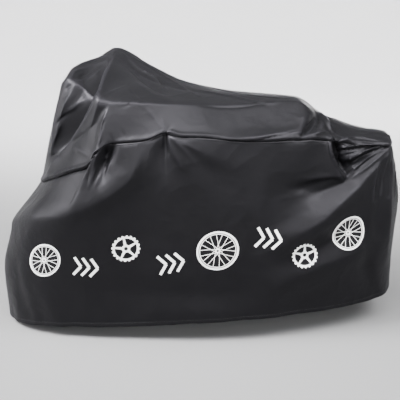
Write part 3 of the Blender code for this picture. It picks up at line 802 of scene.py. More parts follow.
@dataclass
class Drape:
    """The outside of the whole cover as one grid of points.

    columns: faces from the front seam to the rear seam
    sheet_rows: faces across each of the three sheets, an even number
    fine_steps: samples between two neighbouring lines
    skirt_softness, crown_softness: how far the lines' edges are rounded, as a share of a step
    off_cloth: weight of a fold path's distance above or below the cloth
    fold_reach: a fold is worked out as far as this many half widths away
    crisp_rounds, crisp_reach: how often the cloth is drawn flat, and over how many faces
    crisp_moves, crisp_angle: steps of one round, and the angle up to which neighbours agree
    puff_place, puff_width: where the crown puffs out beside a seam, and how wide that is
    sink_width: how wide the skirt sinks in beside a seam
    pucker_place, pucker_width, hem_pucker_width: where a thread's puckers are, and how wide
    stitch_bite, bite_width: how deep and wide the row of stitches sits in the hem
    """

    columns: int = 340
    sheet_rows: int = 140
    fine_steps: int = 40
    skirt_softness: float = 0.30
    crown_softness: float = 0.16
    off_cloth: float = 0.4
    fold_reach: float = 3.2
    crisp_rounds: int = 2
    crisp_reach: int = 9
    crisp_moves: int = 10
    crisp_angle: float = 0.20
    waves: tuple[Ripple, ...] = (
        Ripple((0.16, 0.16, 0.50), 0.0045, 1),
        Ripple((0.07, 0.07, 0.22), 0.0014, 2),
    )
    crumples: tuple[Ripple, ...] = (Ripple(0.085, 0.0009, 3), Ripple(0.034, 0.00035, 4))
    hem_band: float = 0.020
    hem_rise: float = 0.0009
    seam_lap: float = 0.009
    seam_rise: float = 0.0008
    groove_width: float = 0.0030
    groove_depth: float = 0.0028
    puff_place: float = 0.011
    puff_width: float = 0.010
    sink_width: float = 0.011
    stitch_bite: float = 0.0005
    bite_width: float = 0.0013
    pucker_pitch: float = 0.021
    pucker_depth: float = 0.0011
    pucker_place: float = 0.006
    pucker_width: float = 0.016
    hem_pucker_pitch: float = 0.046
    hem_pucker_depth: float = 0.0018
    hem_pucker_width: float = 0.055
    # Rows lie closer beside the seams and the hems, so that laps and grooves have an edge.
    seam_rows: Row = (0, 0.0012, 0.0025, 0.0040, 0.0060, 0.0080, 0.0090, 0.0100, 0.0120, 0.0150)
    hem_rows: Row = (0, 0.0020, 0.0060, 0.0110, 0.0155, 0.0185, 0.0200, 0.0213, 0.0235, 0.0280)
    # Share of the way to the rear, and how closely the columns lie there.
    column_density: tuple[Row, ...] = (
        (0.00, 1.0), (0.10, 1.2), (0.16, 1.7), (0.36, 1.5), (0.42, 1.0),
        (0.70, 0.75), (0.78, 1.3), (0.84, 1.7), (0.97, 1.5), (1.00, 1.0),
    )
    seam_pulls: tuple[SeamPull, ...] = (
        SeamPull(-0.72, 0.004, 0.003),
        SeamPull(-0.60, 0.009, 0.008),
        SeamPull(-0.46, 0.009, 0.008),
        SeamPull(-0.38, 0.004, 0.004),
        SeamPull(-0.20, 0.003, 0.002),
        SeamPull(-0.12, 0.006, 0.005),
        SeamPull(0.05, 0.003, 0.002),
        SeamPull(0.30, 0.005, 0.003),
        SeamPull(0.55, 0.004, 0.004),
        SeamPull(0.86, 0.002, 0.003),
    )

    def __post_init__(self) -> None:
        """Works out the cloth: its arch, its folds, and what its seams do to it."""
        self.points = self.spread_rows(self.arch())
        self.measure()
        self.lay_folds(FOLDS)
        self.draw_crisp()
        self.measure()
        self.lay_folds(self.placed(PICTURE_FOLDS))
        self.measure()
        self.raise_by(self.slack())
        self.measure()
        self.raise_by(self.sewing())
        self.measure()

    @property
    def seam_left(self) -> int:
        """The row of the left side seam."""
        return self.sheet_rows

    @property
    def seam_right(self) -> int:
        """The row of the right side seam."""
        return 2 * self.sheet_rows

    def column_shares(self) -> np.ndarray:
        """Spreads the columns, closer together where there are more folds.

        Returns:
            Shares of the lines' length, from 0 to 1, one for each column.
        """
        fine = np.linspace(0, 1, 1200)
        steps = np.zeros(len(fine) - 1)
        for line in (SHOULDER_LEFT, WAIST, HEM):
            steps += np.linalg.norm(np.diff(line.at(fine), axis=0), axis=1)
        places, density = np.array(self.column_density).T
        steps *= np.interp((fine[1:] + fine[:-1]) / 2, places, density)
        along = np.concatenate([[0], np.cumsum(steps)])
        return np.interp(np.linspace(0, along[-1], self.columns + 1), along, fine)

    def arch(self) -> np.ndarray:
        """Spans the cloth over its lines, without any folds.

        Returns:
            Its points as (step, column, xyz), from the left hem to the right.
        """
        share = self.column_shares()
        lines = [line.at(share) * (1, -1, 1) for line in LEFT_LINES]
        lines.append(TOP.at(share))
        lines += [line.at(share) for line in RIGHT_LINES]
        lines = np.array(lines)
        last = len(lines) - 1
        steps = np.linspace(0, last, last * self.fine_steps + 1)
        on_skirt = np.clip(np.abs(steps - TOP_STEP) - (TOP_STEP - SEAM_STEP) + 0.5, 0, 1)
        spread = self.crown_softness + (self.skirt_softness - self.crown_softness) * on_skirt
        points = np.zeros((len(steps), lines.shape[1], 3))
        weights = {-1.0: 1, -0.5: 2, 0.0: 3, 0.5: 2, 1.0: 1}
        for offset, weight in weights.items():
            at = steps + offset * spread
            k = np.clip(np.floor(at).astype(int), 0, last - 1)
            t = (at - k)[:, None, None]
            points += weight * (lines[k] * (1 - t) + lines[k + 1] * t)
        return closed_ends(points / sum(weights.values()))

    def spread_rows(self, fine: np.ndarray) -> np.ndarray:
        """The arch with the rows of each sheet where the seams and hems want them.

        Args:
            fine: the arch as (step, column, xyz).

        Returns:
            The same cloth as (row, column, xyz).
        """
        steps = (0, SEAM_STEP, 2 * TOP_STEP - SEAM_STEP, 2 * TOP_STEP)
        cuts = [step * self.fine_steps for step in steps]
        hem, seam = self.hem_rows, self.seam_rows
        edges = [(hem, seam), (seam, seam), (seam, hem)]
        sheets = []
        for low, high, (first, last) in zip(cuts[:-1], cuts[1:], edges):
            sheet = fine[low : high + 1]
            run = run_along(sheet, 0)
            places = [self.row_places(length, np.array(first), np.array(last)) for length in run[-1]]
            sheets.append(np.moveaxis(read_columns(places, run, sheet), 2, 0))
        return closed_ends(np.concatenate([sheets[0], sheets[1][1:], sheets[2][1:]]))

    def row_places(self, length: float, first: np.ndarray, last: np.ndarray) -> np.ndarray:
        """Distances of a sheet's rows from its first edge.

        Args:
            length: the sheet's width at this column.
            first: wanted distances from the first edge.
            last: wanted distances from the last edge.

        Returns:
            A rising list of sheet_rows + 1 distances.
        """
        squeeze = min(1.0, 0.35 * length / max(first[-1], last[-1]))
        first, last = first * squeeze, length - last[::-1] * squeeze
        between = self.sheet_rows + 1 - len(first) - len(last)
        middle = np.linspace(first[-1], last[0], between + 2)[1:-1]
        return np.concatenate([first, middle, last])

    def measure(self) -> None:
        """Works out the cloth's outward directions and the distances to its edges."""
        self.points = closed_ends(self.points)
        before, after = self.points[::-1, 1:2], self.points[::-1, -2:-1]
        wide = np.concatenate([before, self.points, after], axis=1)
        up = np.gradient(self.points, axis=0)
        top = len(self.points) // 2
        for end in (0, -1):  # at the ends the two sides meet, and run opposite ways
            up[top, end] = self.points[top, end] - self.points[top - 1, end]
        self.normals = unit(np.cross(wide[:, 2:] - wide[:, :-2], up))
        across = run_along(self.points, 0)
        left, right = across[self.seam_left], across[self.seam_right]
        self.from_seam = np.minimum(np.abs(across - left), np.abs(across - right))
        self.from_hem = np.minimum(across, across[-1] - across)
        self.across = across
        along = run_along(self.points, 1)
        self.from_end = np.minimum(along, along[:, -1:] - along)
        self.along = along - along[:, [self.columns // 2]]

    def raise_by(self, heights: np.ndarray) -> None:
        """Moves every point outwards by its height."""
        self.points = self.points + heights[..., None] * self.normals

    def lay_folds(self, folds: tuple[Fold, ...]) -> None:
        """Adds folds to the cloth, all of them worked out on the cloth as it is now.

        Args:
            folds: the folds, with their stations in metres.
        """
        points, normals = self.points.reshape(-1, 3), self.normals.reshape(-1, 3)
        moved = points.copy()
        for fold in folds:
            near, shift = self.fold_shift(fold, points, normals)
            moved[near] += shift
        self.points = moved.reshape(self.points.shape)

    def placed(self, folds: tuple[PictureFold, ...]) -> tuple[Fold, ...]:
        """Lays the stations of the picture's folds on the cloth.

        Args:
            folds: folds with their stations on the picture.

        Returns:
            The same folds with their stations on the cloth, in metres.
        """
        columns = self.points.shape[1]
        first = np.arange(self.points[..., 0].size).reshape(-1, columns)[:-1, :-1].ravel()
        faces = np.stack([first, first + 1, first + columns + 1, first + columns], axis=-1)
        cloth = BVHTree.FromPolygons(self.points.reshape(-1, 3).tolist(), faces.tolist())
        laid = []
        for fold in folds:
            stations = []
            for from_left, from_top, half_width, depth in fold.stations:
                ray = VIEW.ray(from_left, from_top)
                found = cloth.ray_cast(VIEW.place, ray)[0]
                if found is None:  # beside the outline, where the nearest point of the cloth serves
                    beside = np.cross(self.points - VIEW.place, ray.normalized())
                    gap = np.linalg.norm(beside, axis=-1)
                    found = self.points[np.unravel_index(np.argmin(gap), gap.shape)]
                stations.append((*found, half_width / 1000, depth / 1000))
            laid.append(Fold(tuple(stations), fold.lean, fold.crease, fold.roll))
        return tuple(laid)

    def fold_shift(
        self, fold: Fold, points: np.ndarray, normals: np.ndarray
    ) -> tuple[np.ndarray, np.ndarray]:
        """How one fold moves the cloth.

        Args:
            fold: the fold.
            points: points of the cloth, as (point, xyz).
            normals: the cloth's outward directions there.

        Returns:
            The numbers of the points that it moves, and their shifts.
        """
        path = curve_through(np.array(fold.stations, float), 6)
        reach = self.fold_reach * path[:, 3].max() * max(fold.lean, 1 / fold.lean)
        low, high = path[:, :3].min(0) - reach, path[:, :3].max(0) + reach
        near = np.flatnonzero(np.all((points > low) & (points < high), axis=1))
        here, out = points[near], normals[near]
        way = np.diff(path[:, :3], axis=0)
        gap = here[:, None] - path[None, :-1, :3]
        t = np.clip(np.sum(gap * way, axis=-1) / np.sum(way * way, axis=-1), 0, 1)
        away = gap - t[..., None] * way
        off = np.sum(away * out[:, None], axis=-1)
        flat = away - off[..., None] * out[:, None]
        distance = np.sqrt(np.sum(flat * flat, axis=-1) + (self.off_cloth * off) ** 2)
        nearest = np.argmin(distance, axis=1)
        pick = np.arange(len(near)), nearest
        distance, flat, t, way = distance[pick], flat[pick], t[pick][:, None], way[nearest]
        width, depth = (path[nearest, 3:] + (path[nearest + 1, 3:] - path[nearest, 3:]) * t).T
        left = unit(np.cross(out, way))
        width = width * np.where(np.sum(left * flat, axis=-1) > 0, fold.lean, 1 / fold.lean)
        power, draw = fold.crease.value
        fall = np.exp(-((distance / width) ** power))
        shift = out * (depth * fall)[:, None]
        strength = np.clip(np.abs(depth) / width, 0, 1)
        shift -= flat * (draw * strength * np.exp(-((distance / width) ** 2)))[:, None]
        shift -= left * (fold.roll * depth * fall)[:, None]
        return near, shift

    def draw_crisp(self) -> None:
        """Draws the cloth into flat faces between sharp creases, as stiff coated cloth hangs.

        The faces' directions are averaged with those of their neighbours that differ little. The
        points then move until the cloth faces that way. Its sewn edges and its hems stay.
        """
        free = np.ones(self.points.shape[:2] + (1,))
        free[[0, self.seam_left, self.seam_right, -1]] = 0
        free[:, [0, -1]] = 0
        for _ in range(self.crisp_rounds):
            p = self.points
            facing = unit(np.cross(p[1:, 1:] - p[:-1, :-1], p[1:, :-1] - p[:-1, 1:]))
            rows, columns = facing.shape[:2]
            target = self.flatter(facing)
            for _ in range(self.crisp_moves):
                p = self.points
                middle = (p[1:, 1:] + p[:-1, :-1] + p[1:, :-1] + p[:-1, 1:]) / 4
                moved = np.zeros_like(p)
                count = np.zeros(p.shape[:2] + (1,))
                for i, j in ((0, 0), (0, 1), (1, 0), (1, 1)):
                    part = np.s_[i:i + rows, j:j + columns]
                    gap = np.sum(target * (middle - p[part]), axis=-1, keepdims=True)
                    moved[part] += target * gap
                    count[part] += 1
                self.points = p + free * moved / count

    def flatter(self, facing: np.ndarray) -> np.ndarray:
        """The faces' directions, each drawn to those of its neighbours that differ little.

        Args:
            facing: the directions, as (row, column, xyz).

        Returns:
            The new directions.
        """
        reach = self.crisp_reach
        rows, columns = facing.shape[:2]
        padded = np.pad(facing, ((reach, reach), (reach, reach), (0, 0)), mode="edge")
        total = np.zeros_like(facing)
        for i in range(-reach, reach + 1, 2):
            for j in range(-reach, reach + 1, 2):
                near = padded[reach + i:reach + i + rows, reach + j:reach + j + columns]
                turn = np.sum((near - facing) ** 2, axis=-1, keepdims=True) / (2 * self.crisp_angle ** 2)
                total += near * np.exp(-turn - (i * i + j * j) / (0.9 * reach ** 2))
        return unit(total)

    def slack(self) -> np.ndarray:
        """The slack that no single fold gives: broad waves on the skirts, small crumples all over.

        Returns:
            How far each point lifts off the cloth.
        """
        on_skirt = smooth_step(self.from_seam, 0.02, 0.25) * self.is_skirt()
        heights = np.zeros(self.points.shape[:2])
        for wave in self.waves:
            heights += noise_at(self.points, wave.size, wave.seed) * wave.height * on_skirt
        for crumple in self.crumples:
            heights += crumpled(self.points, crumple.size, crumple.seed) * crumple.height
        return heights

    def is_skirt(self) -> np.ndarray:
        """1 on the rows of the skirts and 0 on those of the crown."""
        rows = np.arange(len(self.points))
        return ((rows < self.seam_left) | (rows > self.seam_right)).astype(float)[:, None]

    def sewing(self) -> np.ndarray:
        """What the seams and hems do: grooves, laps, and the puckers that the thread draws in.

        Returns:
            How far each point lifts off the cloth.
        """
        skirt = self.is_skirt()
        x = self.points[..., 0]
        places = np.array([pull.x for pull in self.seam_pulls])
        bulge = np.interp(x, places, [pull.bulge for pull in self.seam_pulls])
        sink = np.interp(x, places, [pull.sink for pull in self.seam_pulls])
        seam = self.from_seam
        heights = -self.groove_depth * bell(seam, self.groove_width)
        heights += (1 - skirt) * bulge * bell(seam - self.puff_place, self.puff_width)
        heights -= skirt * sink * bell(seam, self.sink_width)
        lap_end = smooth_step(seam, self.seam_lap, self.seam_lap + 0.001)
        heights += skirt * self.seam_rise * smooth_step(seam, 0.001, 0.003) * (1 - lap_end)
        band_end = smooth_step(self.from_hem, self.hem_band, self.hem_band + 0.0014)
        heights += self.hem_rise * (1 - band_end)
        heights -= self.stitch_bite * bell(self.from_hem - HEM_STITCHES, self.bite_width)
        heights -= skirt * self.groove_depth * bell(self.from_end, self.groove_width)
        return heights + self.puckers()

    def puckers(self) -> np.ndarray:
        """Short ridges square to the thread of each side seam and hem.

        Returns:
            How far each point lifts off the cloth.
        """
        heights = np.zeros(self.points.shape[:2])
        skirt = self.is_skirt()
        for row, seed in ((self.seam_left, 1), (self.seam_right, 2)):
            run = self.along[row] / self.pucker_pitch
            line = np.stack([run, run * 0, run * 0], axis=-1)
            for side, share in ((skirt, 0), (1 - skirt, 1)):
                wave = noise_at(line, 1.0, seed * 3 + share)
                wave += 0.5 * noise_at(line, 0.45, seed * 5 + share)
                beside = bell(self.from_seam - self.pucker_place, self.pucker_width)
                heights += side * self.pucker_depth * wave * beside
        rows = np.arange(len(heights))
        for row, seed, own in ((0, 3, rows < self.seam_left), (-1, 4, rows > self.seam_right)):
            run = self.along[row] / self.hem_pucker_pitch
            line = np.stack([run, run * 0, run * 0], axis=-1)
            wave = noise_at(line, 1.0, seed * 3) + 0.4 * noise_at(line, 0.4, seed * 5)
            beside = bell(self.from_hem, self.hem_pucker_width)
            heights += own[:, None] * self.hem_pucker_depth * wave * beside
        return heights

    def beside_row(self, row: int, offset: float) -> tuple[np.ndarray, np.ndarray]:
        """A line over the cloth at a set distance from a row.

        Args:
            row: the row that the line keeps beside.
            offset: distance over the cloth, above 0 towards the right hem.

        Returns:
            The line's points and the outward directions there.
        """
        both = np.concatenate([self.points, self.normals], axis=-1)
        found = read_columns(self.across[row] + offset, self.across, both)
        return found[:, :3], unit(found[:, 3:])

    def beside_end(self, rear: bool, offset: float) -> tuple[np.ndarray, np.ndarray]:
        """A line down the left skirt at a set distance from one of its ends.

        Args:
            rear: whether it keeps beside the rear end.
            offset: distance over the cloth.

        Returns:
            The line's points and the outward directions there.
        """
        both = np.concatenate([self.points, self.normals], axis=-1)[: self.seam_left]
        run = self.along[: self.seam_left].T
        places = run[-1] - offset if rear else run[0] + offset
        found = read_columns(places, run, both.swapaxes(0, 1))
        return found[:, :3], unit(found[:, 3:])


def closed_ends(points: np.ndarray) -> np.ndarray:
    """Closes the cloth at its front and rear.

    Args:
        points: the grid, as (row, column, xyz).

    Returns:
        The grid with its first and last columns in the middle plane, alike on both sides.
    """
    closed = points.copy()
    for end in (0, -1):
        middle = (points[:, end] + points[::-1, end]) / 2
        middle[:, 1] = 0
        closed[:, end] = middle
    return closed


# ---- nodes


class Graph:
    """Adds nodes to one node tree."""

    def __init__(self, tree: bpy.types.NodeTree) -> None:
        """Starts on a tree as it is."""
        self.tree = tree

    def add(
        self, kind: str, settings: dict | None = None, sockets: dict | None = None
    ) -> bpy.types.Node:
        """Adds one node.

        Args:
            kind: the node's type.
            settings: its own settings, which are set first.
            sockets: values or links of its input sockets, by name or number.

        Returns:
            The node.
        """
        node = self.tree.nodes.new(kind)
        for name, value in (settings or {}).items():
            setattr(node, name, value)
        for name, value in (sockets or {}).items():
            self.feed(node.inputs[name], value)
        return node

    def feed(self, socket: bpy.types.NodeSocket, value: object) -> None:
        """Links a socket, or sets its value.

        Args:
            socket: an input socket.
            value: a Number or an output socket to link, or a plain value.
        """
        if isinstance(value, Number):
            value = value.socket
        if isinstance(value, bpy.types.NodeSocket):
            self.tree.links.new(value, socket)
        else:
            socket.default_value = value

    def dress(self, sockets: dict[str, object]) -> None:
        """Feeds the shader's sockets, by name."""
        shader = self.tree.nodes["Principled BSDF"]
        for name, value in sockets.items():
            self.feed(shader.inputs[name], value)

    def noise(
        self, places: bpy.types.NodeSocket, size: float, detail: float = 2.0, warp: float = 0.0
    ) -> "Number":
        """Noise from 0 to 1 with bumps of a size in metres."""
        sockets = {"Vector": places, "Scale": 1 / size, "Detail": detail, "Distortion": warp}
        return Number(self, self.add("ShaderNodeTexNoise", None, sockets).outputs["Fac"])

    def blend(self, factor: "Number", low: Row, high: Row) -> bpy.types.NodeSocket:
        """A colour from low to high."""
        node = self.add("ShaderNodeMix", {"data_type": "RGBA"}, {0: factor, 6: (*low, 1), 7: (*high, 1)})
        return node.outputs[2]

    def bump(self, height: "Number", depth: float, below: object = None) -> bpy.types.NodeSocket:
        """A normal bent by a height.

        Args:
            height: a height from 0 to 1.
            depth: what a height of 1 is in metres.
            below: another normal that this one lies over.

        Returns:
            The normal.
        """
        sockets = {"Height": height, "Distance": depth, "Strength": 1.0}
        if below is not None:
            sockets["Normal"] = below
        return self.add("ShaderNodeBump", None, sockets).outputs["Normal"]


class Number:
    """A number in a node tree. Python's operators on it add Math nodes."""

    def __init__(self, graph: Graph, socket: bpy.types.NodeSocket) -> None:
        """Wraps a socket of the graph's tree."""
        self.graph = graph
        self.socket = socket

    def math(self, operation: str, *values: object) -> "Number":
        """The result of a Math node on these values."""
        node = self.graph.add("ShaderNodeMath", {"operation": operation}, dict(enumerate(values)))
        return Number(self.graph, node.outputs[0])

    def __add__(self, other: object) -> "Number":
        """self + other."""
        return self.math("ADD", self, other)

    def __sub__(self, other: object) -> "Number":
        """self - other."""
        return self.math("SUBTRACT", self, other)

    def __rsub__(self, other: object) -> "Number":
        """other - self."""
        return self.math("SUBTRACT", other, self)

    def __mul__(self, other: object) -> "Number":
        """self * other."""
        return self.math("MULTIPLY", self, other)

    def __truediv__(self, other: object) -> "Number":
        """self / other."""
        return self.math("DIVIDE", self, other)

    def __abs__(self) -> "Number":
        """self without its sign."""
        return self.math("ABSOLUTE", self)

    __radd__ = __add__
    __rmul__ = __mul__

    def sine(self) -> "Number":
        """The sine of self."""
        return self.math("SINE", self)

    def held(self, low: float, high: float) -> "Number":
        """0 below low, 1 above high, and even between them."""
        node = self.graph.add("ShaderNodeMapRange", {"clamp": True}, {0: self, 1: low, 2: high})
        return Number(self.graph, node.outputs[0])


# ---- finishes


def new_material(name: str) -> tuple[bpy.types.Material, Graph, bpy.types.NodeSocket]:
    """Makes an empty material.

    Args:
        name: its name.

    Returns:
        The material, its graph, and places on the object in metres.
    """
    material = bpy.data.materials.new(name)
    material.use_nodes = True
    graph = Graph(material.node_tree)
    return material, graph, graph.add("ShaderNodeTexCoord").outputs["Object"]


@dataclass(frozen=True)
class CoatedCloth:
    """Thin black polyester with a coating: a fine plain weave, soft gloss and small crumples.

    Colours are linear. Sizes are in metres. cloud_size is that of the patches in which colour and
    roughness differ.
    """

    colour: Row = (0.0028, 0.0028, 0.0031)
    rubbed_colour: Row = (0.006, 0.0058, 0.0068)
    roughness: float = 0.46
    roughness_spread: float = 0.08
    cloud_size: float = 0.09
    yarn_pitch: float = 0.0006
    yarn_depth: float = 0.00004
    crumple_size: float = 0.016
    crumple_depth: float = 0.0004
    fine_crumple_size: float = 0.005
    fine_crumple_depth: float = 0.00016
    gloss: float = 0.12
    gloss_tint: Row = (0.93, 0.90, 1.0)
    sheen: float = 0.01
    sheen_roughness: float = 0.4
    sheen_tint: Row = (0.86, 0.84, 1.0)

    def material(self) -> bpy.types.Material:
        """Makes the finish from the sheets' UV map and their rubbed attribute.

        Returns:
            The material.
        """
        material, graph, places = new_material("coated_cloth")
        rubbed = graph.add("ShaderNodeAttribute", {"attribute_name": "rubbed"}).outputs["Fac"]
        cloudy = graph.noise(places, self.cloud_size, 3.0)
        crumple = graph.noise(places, self.crumple_size, 3.0, 0.6)
        fine = graph.noise(places, self.fine_crumple_size, 2.0)
        worn = (Number(graph, rubbed) * (0.55 + 0.9 * fine)).held(0.15, 1.0)
        lighter = tuple(1.25 * part for part in self.colour)
        mottled = graph.blend(cloudy.held(0.3, 0.7), self.colour, lighter)
        colour = graph.add(
            "ShaderNodeMix",
            {"data_type": "RGBA"},
            {0: worn, 6: mottled, 7: (*self.rubbed_colour, 1)},
        ).outputs[2]
        roughness = self.roughness + self.roughness_spread * (cloudy - 0.5)
        roughness = roughness + 0.10 * (fine - 0.5) - 0.05 * worn
        normal = graph.bump(crumple, self.crumple_depth)
        normal = graph.bump(fine, self.fine_crumple_depth, normal)
        normal = graph.bump(self.weave(graph), self.yarn_depth, normal)
        graph.dress({
            "Base Color": colour,
            "Roughness": roughness,
            "Normal": normal,
            "Sheen Weight": self.sheen,
            "Sheen Roughness": self.sheen_roughness,
            "Sheen Tint": (*self.sheen_tint, 1),
            "Specular IOR Level": self.gloss,
            "Specular Tint": (*self.gloss_tint, 1),
        })
        return material

    def weave(self, graph: Graph) -> Number:
        """A plain weave on the UV map, which is in metres.

        Args:
            graph: the graph that it is added to.

        Returns:
            Its height, from 0 to 1.
        """
        uv = graph.add("ShaderNodeUVMap", {"uv_map": "cloth"}).outputs[0]
        apart = graph.add("ShaderNodeSeparateXYZ", None, {0: uv})
        turn = math.pi / self.yarn_pitch
        across = (Number(graph, apart.outputs[0]) * turn).sine()
        along = (Number(graph, apart.outputs[1]) * turn).sine()
        over = (across * along).held(-0.2, 0.2)
        return over * abs(across) + (1 - over) * abs(along)


@dataclass(frozen=True)
class PrintInk:
    """White screen ink that lies on the cloth and follows its crumples.

    thin_from, thin_to: where in the noise the ink thins out
    """

    colour: Row = (0.80, 0.80, 0.79)
    thin_colour: Row = (0.56, 0.56, 0.57)
    thin_from: float = 0.62
    thin_to: float = 0.80
    roughness: float = 0.52
    roughness_spread: float = 0.15
    speckle_size: float = 0.0022
    speckle_depth: float = 0.00008
    patch_size: float = 0.03
    crumple_size: float = 0.016
    crumple_depth: float = 0.0006

    def material(self) -> bpy.types.Material:
        """Makes the finish.

        Returns:
            The material.
        """
        material, graph, places = new_material("print_ink")
        speckle = graph.noise(places, self.speckle_size, 3.0)
        patches = graph.noise(places, self.patch_size, 2.0)
        thin = (speckle + 0.6 * patches - 0.3).held(self.thin_from, self.thin_to)
        crumple = graph.noise(places, self.crumple_size, 3.0, 0.6)
        normal = graph.bump(crumple, self.crumple_depth)
        normal = graph.bump(speckle, self.speckle_depth, normal)
        graph.dress({
            "Base Color": graph.blend(thin, self.colour, self.thin_colour),
            "Roughness": self.roughness + self.roughness_spread * (patches - 0.5),
            "Normal": normal,
        })
        return material


@dataclass(frozen=True)
class SewingThread:
    """Black twisted thread."""

    colour: Row = (0.020, 0.020, 0.022)
    roughness: float = 0.55
    twist_pitch: float = 0.0007
    twist_depth: float = 0.00012

    def material(self) -> bpy.types.Material:
        """Makes the finish.

        Returns:
            The material.
        """
        material, graph, places = new_material("sewing_thread")
        apart = graph.add("ShaderNodeSeparateXYZ", None, {0: places})
        slanting = Number(graph, apart.outputs[0]) + Number(graph, apart.outputs[2])
        twist = 0.5 + 0.5 * (slanting * (2 * math.pi / self.twist_pitch)).sine()
        lighter = tuple(1.6 * part for part in self.colour)
        graph.dress({
            "Base Color": graph.blend(twist, self.colour, lighter),
            "Roughness": self.roughness + 0.1 * graph.noise(places, 0.004),
            "Normal": graph.bump(twist, self.twist_depth),
        })
        return material


@dataclass(frozen=True)
class PaleFloor:
    """Plain pale studio floor."""

    colour: Row = (0.15, 0.15, 0.152)
    roughness: float = 0.75
    roughness_spread: float = 0.05
    gloss: float = 0.2

    def material(self) -> bpy.types.Material:
        """Makes the finish.

        Returns:
            The material.
        """
        material, graph, places = new_material("pale_floor")
        graph.dress({
            "Base Color": (*self.colour, 1),
            "Roughness": self.roughness + self.roughness_spread * graph.noise(places, 0.4),
            "Specular IOR Level": self.gloss,
        })
        return material


# ---- the pieces


def linked(name: str, data: bpy.types.ID) -> bpy.types.Object:
    """Puts a new object into the scene, at the origin.

    Args:
        name: its name.
        data: its mesh, light or camera.

    Returns:
        The object.
    """
    piece = bpy.data.objects.new(name, data)
    bpy.context.scene.collection.objects.link(piece)
    return piece


def delivered(piece: bpy.types.Object) -> bpy.types.Object:
    """Reports a finished piece, and says what it rides on.

    Args:
        piece: the piece.

    Returns:
        The piece.
    """
    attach(piece, BODY)
    LOG.info("%s: %d faces", piece.name, len(piece.data.polygons))
    return piece


@dataclass(frozen=True)
class Sheet:
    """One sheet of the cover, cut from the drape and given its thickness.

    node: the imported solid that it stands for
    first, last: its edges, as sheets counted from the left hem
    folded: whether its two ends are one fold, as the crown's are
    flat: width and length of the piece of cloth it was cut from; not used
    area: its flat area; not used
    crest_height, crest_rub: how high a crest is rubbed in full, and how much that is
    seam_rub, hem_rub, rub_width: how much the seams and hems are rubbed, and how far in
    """

    node: str
    first: int
    last: int
    folded: bool
    flat: tuple[float, float]
    area: float
    thickness: float = 0.0015
    seam_gap: float = 0.0001
    crest_height: float = 0.0016
    crest_rub: float = 0.8
    seam_rub: float = 0.35
    seam_rub_place: float = 0.005
    hem_rub: float = 0.5
    rub_width: float = 0.006

    def mesh(self, drape: Drape) -> bpy.types.Mesh:
        """Cuts the sheet from the drape.

        Args:
            drape: the outside of the whole cover.

        Returns:
            One closed mesh, with its UV map and its rubbed attribute.
        """
        rows = slice(self.first * drape.sheet_rows, self.last * drape.sheet_rows + 1)
        outside = self.sewn_back(drape.points[rows])
        inside = outside - self.thickness * drape.normals[rows]
        count, columns = outside.shape[:2]
        numbers = np.arange(count * columns).reshape(count, columns)
        if self.folded:
            half = np.minimum(np.arange(count), np.arange(count)[::-1])
            numbers[:, 0] = numbers[half, 0]
            numbers[:, -1] = numbers[half, -1]
        faces = sheet_faces(numbers, numbers + count * columns, self.folded)
        mesh = bpy.data.meshes.new(self.node + "_cloth")
        mesh.from_pydata(np.concatenate([outside.reshape(-1, 3), inside.reshape(-1, 3)]), [], faces)
        along, across = drape.along[rows], drape.across[rows] - drape.across[rows][:1]
        uv = np.tile(np.stack([along, across], axis=-1).reshape(-1, 2), (2, 1))
        corners = np.zeros(len(mesh.loops), int)
        mesh.loops.foreach_get("vertex_index", corners)
        mesh.uv_layers.new(name="cloth").data.foreach_set("uv", uv[corners].ravel())
        rubbed = np.tile(self.rubbed(drape)[rows].ravel(), 2).astype(np.float32)
        mesh.attributes.new("rubbed", "FLOAT", "POINT").data.foreach_set("value", rubbed)
        drop_loose(mesh)
        mesh.shade_smooth()
        mesh.set_sharp_from_angle(angle=math.radians(60))
        return mesh

    def sewn_back(self, points: np.ndarray) -> np.ndarray:
        """Moves the sheet's sewn edges in by half the seam's gap.

        Args:
            points: the sheet's outside, as (row, column, xyz).

        Returns:
            The moved points.
        """
        moved = points.copy()
        edges = []
        if self.first > 0:
            edges.append((np.s_[0, :], np.s_[1, :]))
        if self.last < 3:
            edges.append((np.s_[-1, :], np.s_[-2, :]))
        if not self.folded:
            edges += [(np.s_[:, 0], np.s_[:, 1]), (np.s_[:, -1], np.s_[:, -2])]
        for edge, inner in edges:
            moved[edge] += unit(points[inner] - points[edge]) * self.seam_gap / 2
        return moved

    def rubbed(self, drape: Drape) -> np.ndarray:
        """How far the coating is rubbed: on the crests of folds, and along seams and hems.

        Args:
            drape: the outside of the whole cover.

        Returns:
            A share for each point of the drape.
        """
        points = drape.points
        mean = sum(np.roll(points, step, axis) for axis in (0, 1) for step in (2, -2)) / 4
        crest = np.sum((points - mean) * drape.normals, axis=-1)
        crest[:, :2] = crest[:, -2:] = crest[:2] = crest[-2:] = 0
        edges = self.seam_rub * bell(drape.from_seam - self.seam_rub_place, self.rub_width)
        edges += self.hem_rub * bell(drape.from_hem, self.rub_width)
        return np.clip(crest / self.crest_height, 0, 1) * self.crest_rub + edges

    def build(self, drape: Drape, finish: bpy.types.Material) -> bpy.types.Object:
        """Makes the sheet and dresses it.

        Args:
            drape: the outside of the whole cover.
            finish: the cloth's material.

        Returns:
            The sheet.
        """
        piece = linked(self.node + "_cloth", self.mesh(drape))
        piece.data.materials.append(finish)
        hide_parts(self.node)
        return delivered(piece)


def quads(a: np.ndarray, b: np.ndarray, c: np.ndarray, d: np.ndarray) -> np.ndarray:
    """Faces with four corners each, from the numbers of their corners."""
    return np.stack([a, b, c, d], axis=-1).reshape(-1, 4)


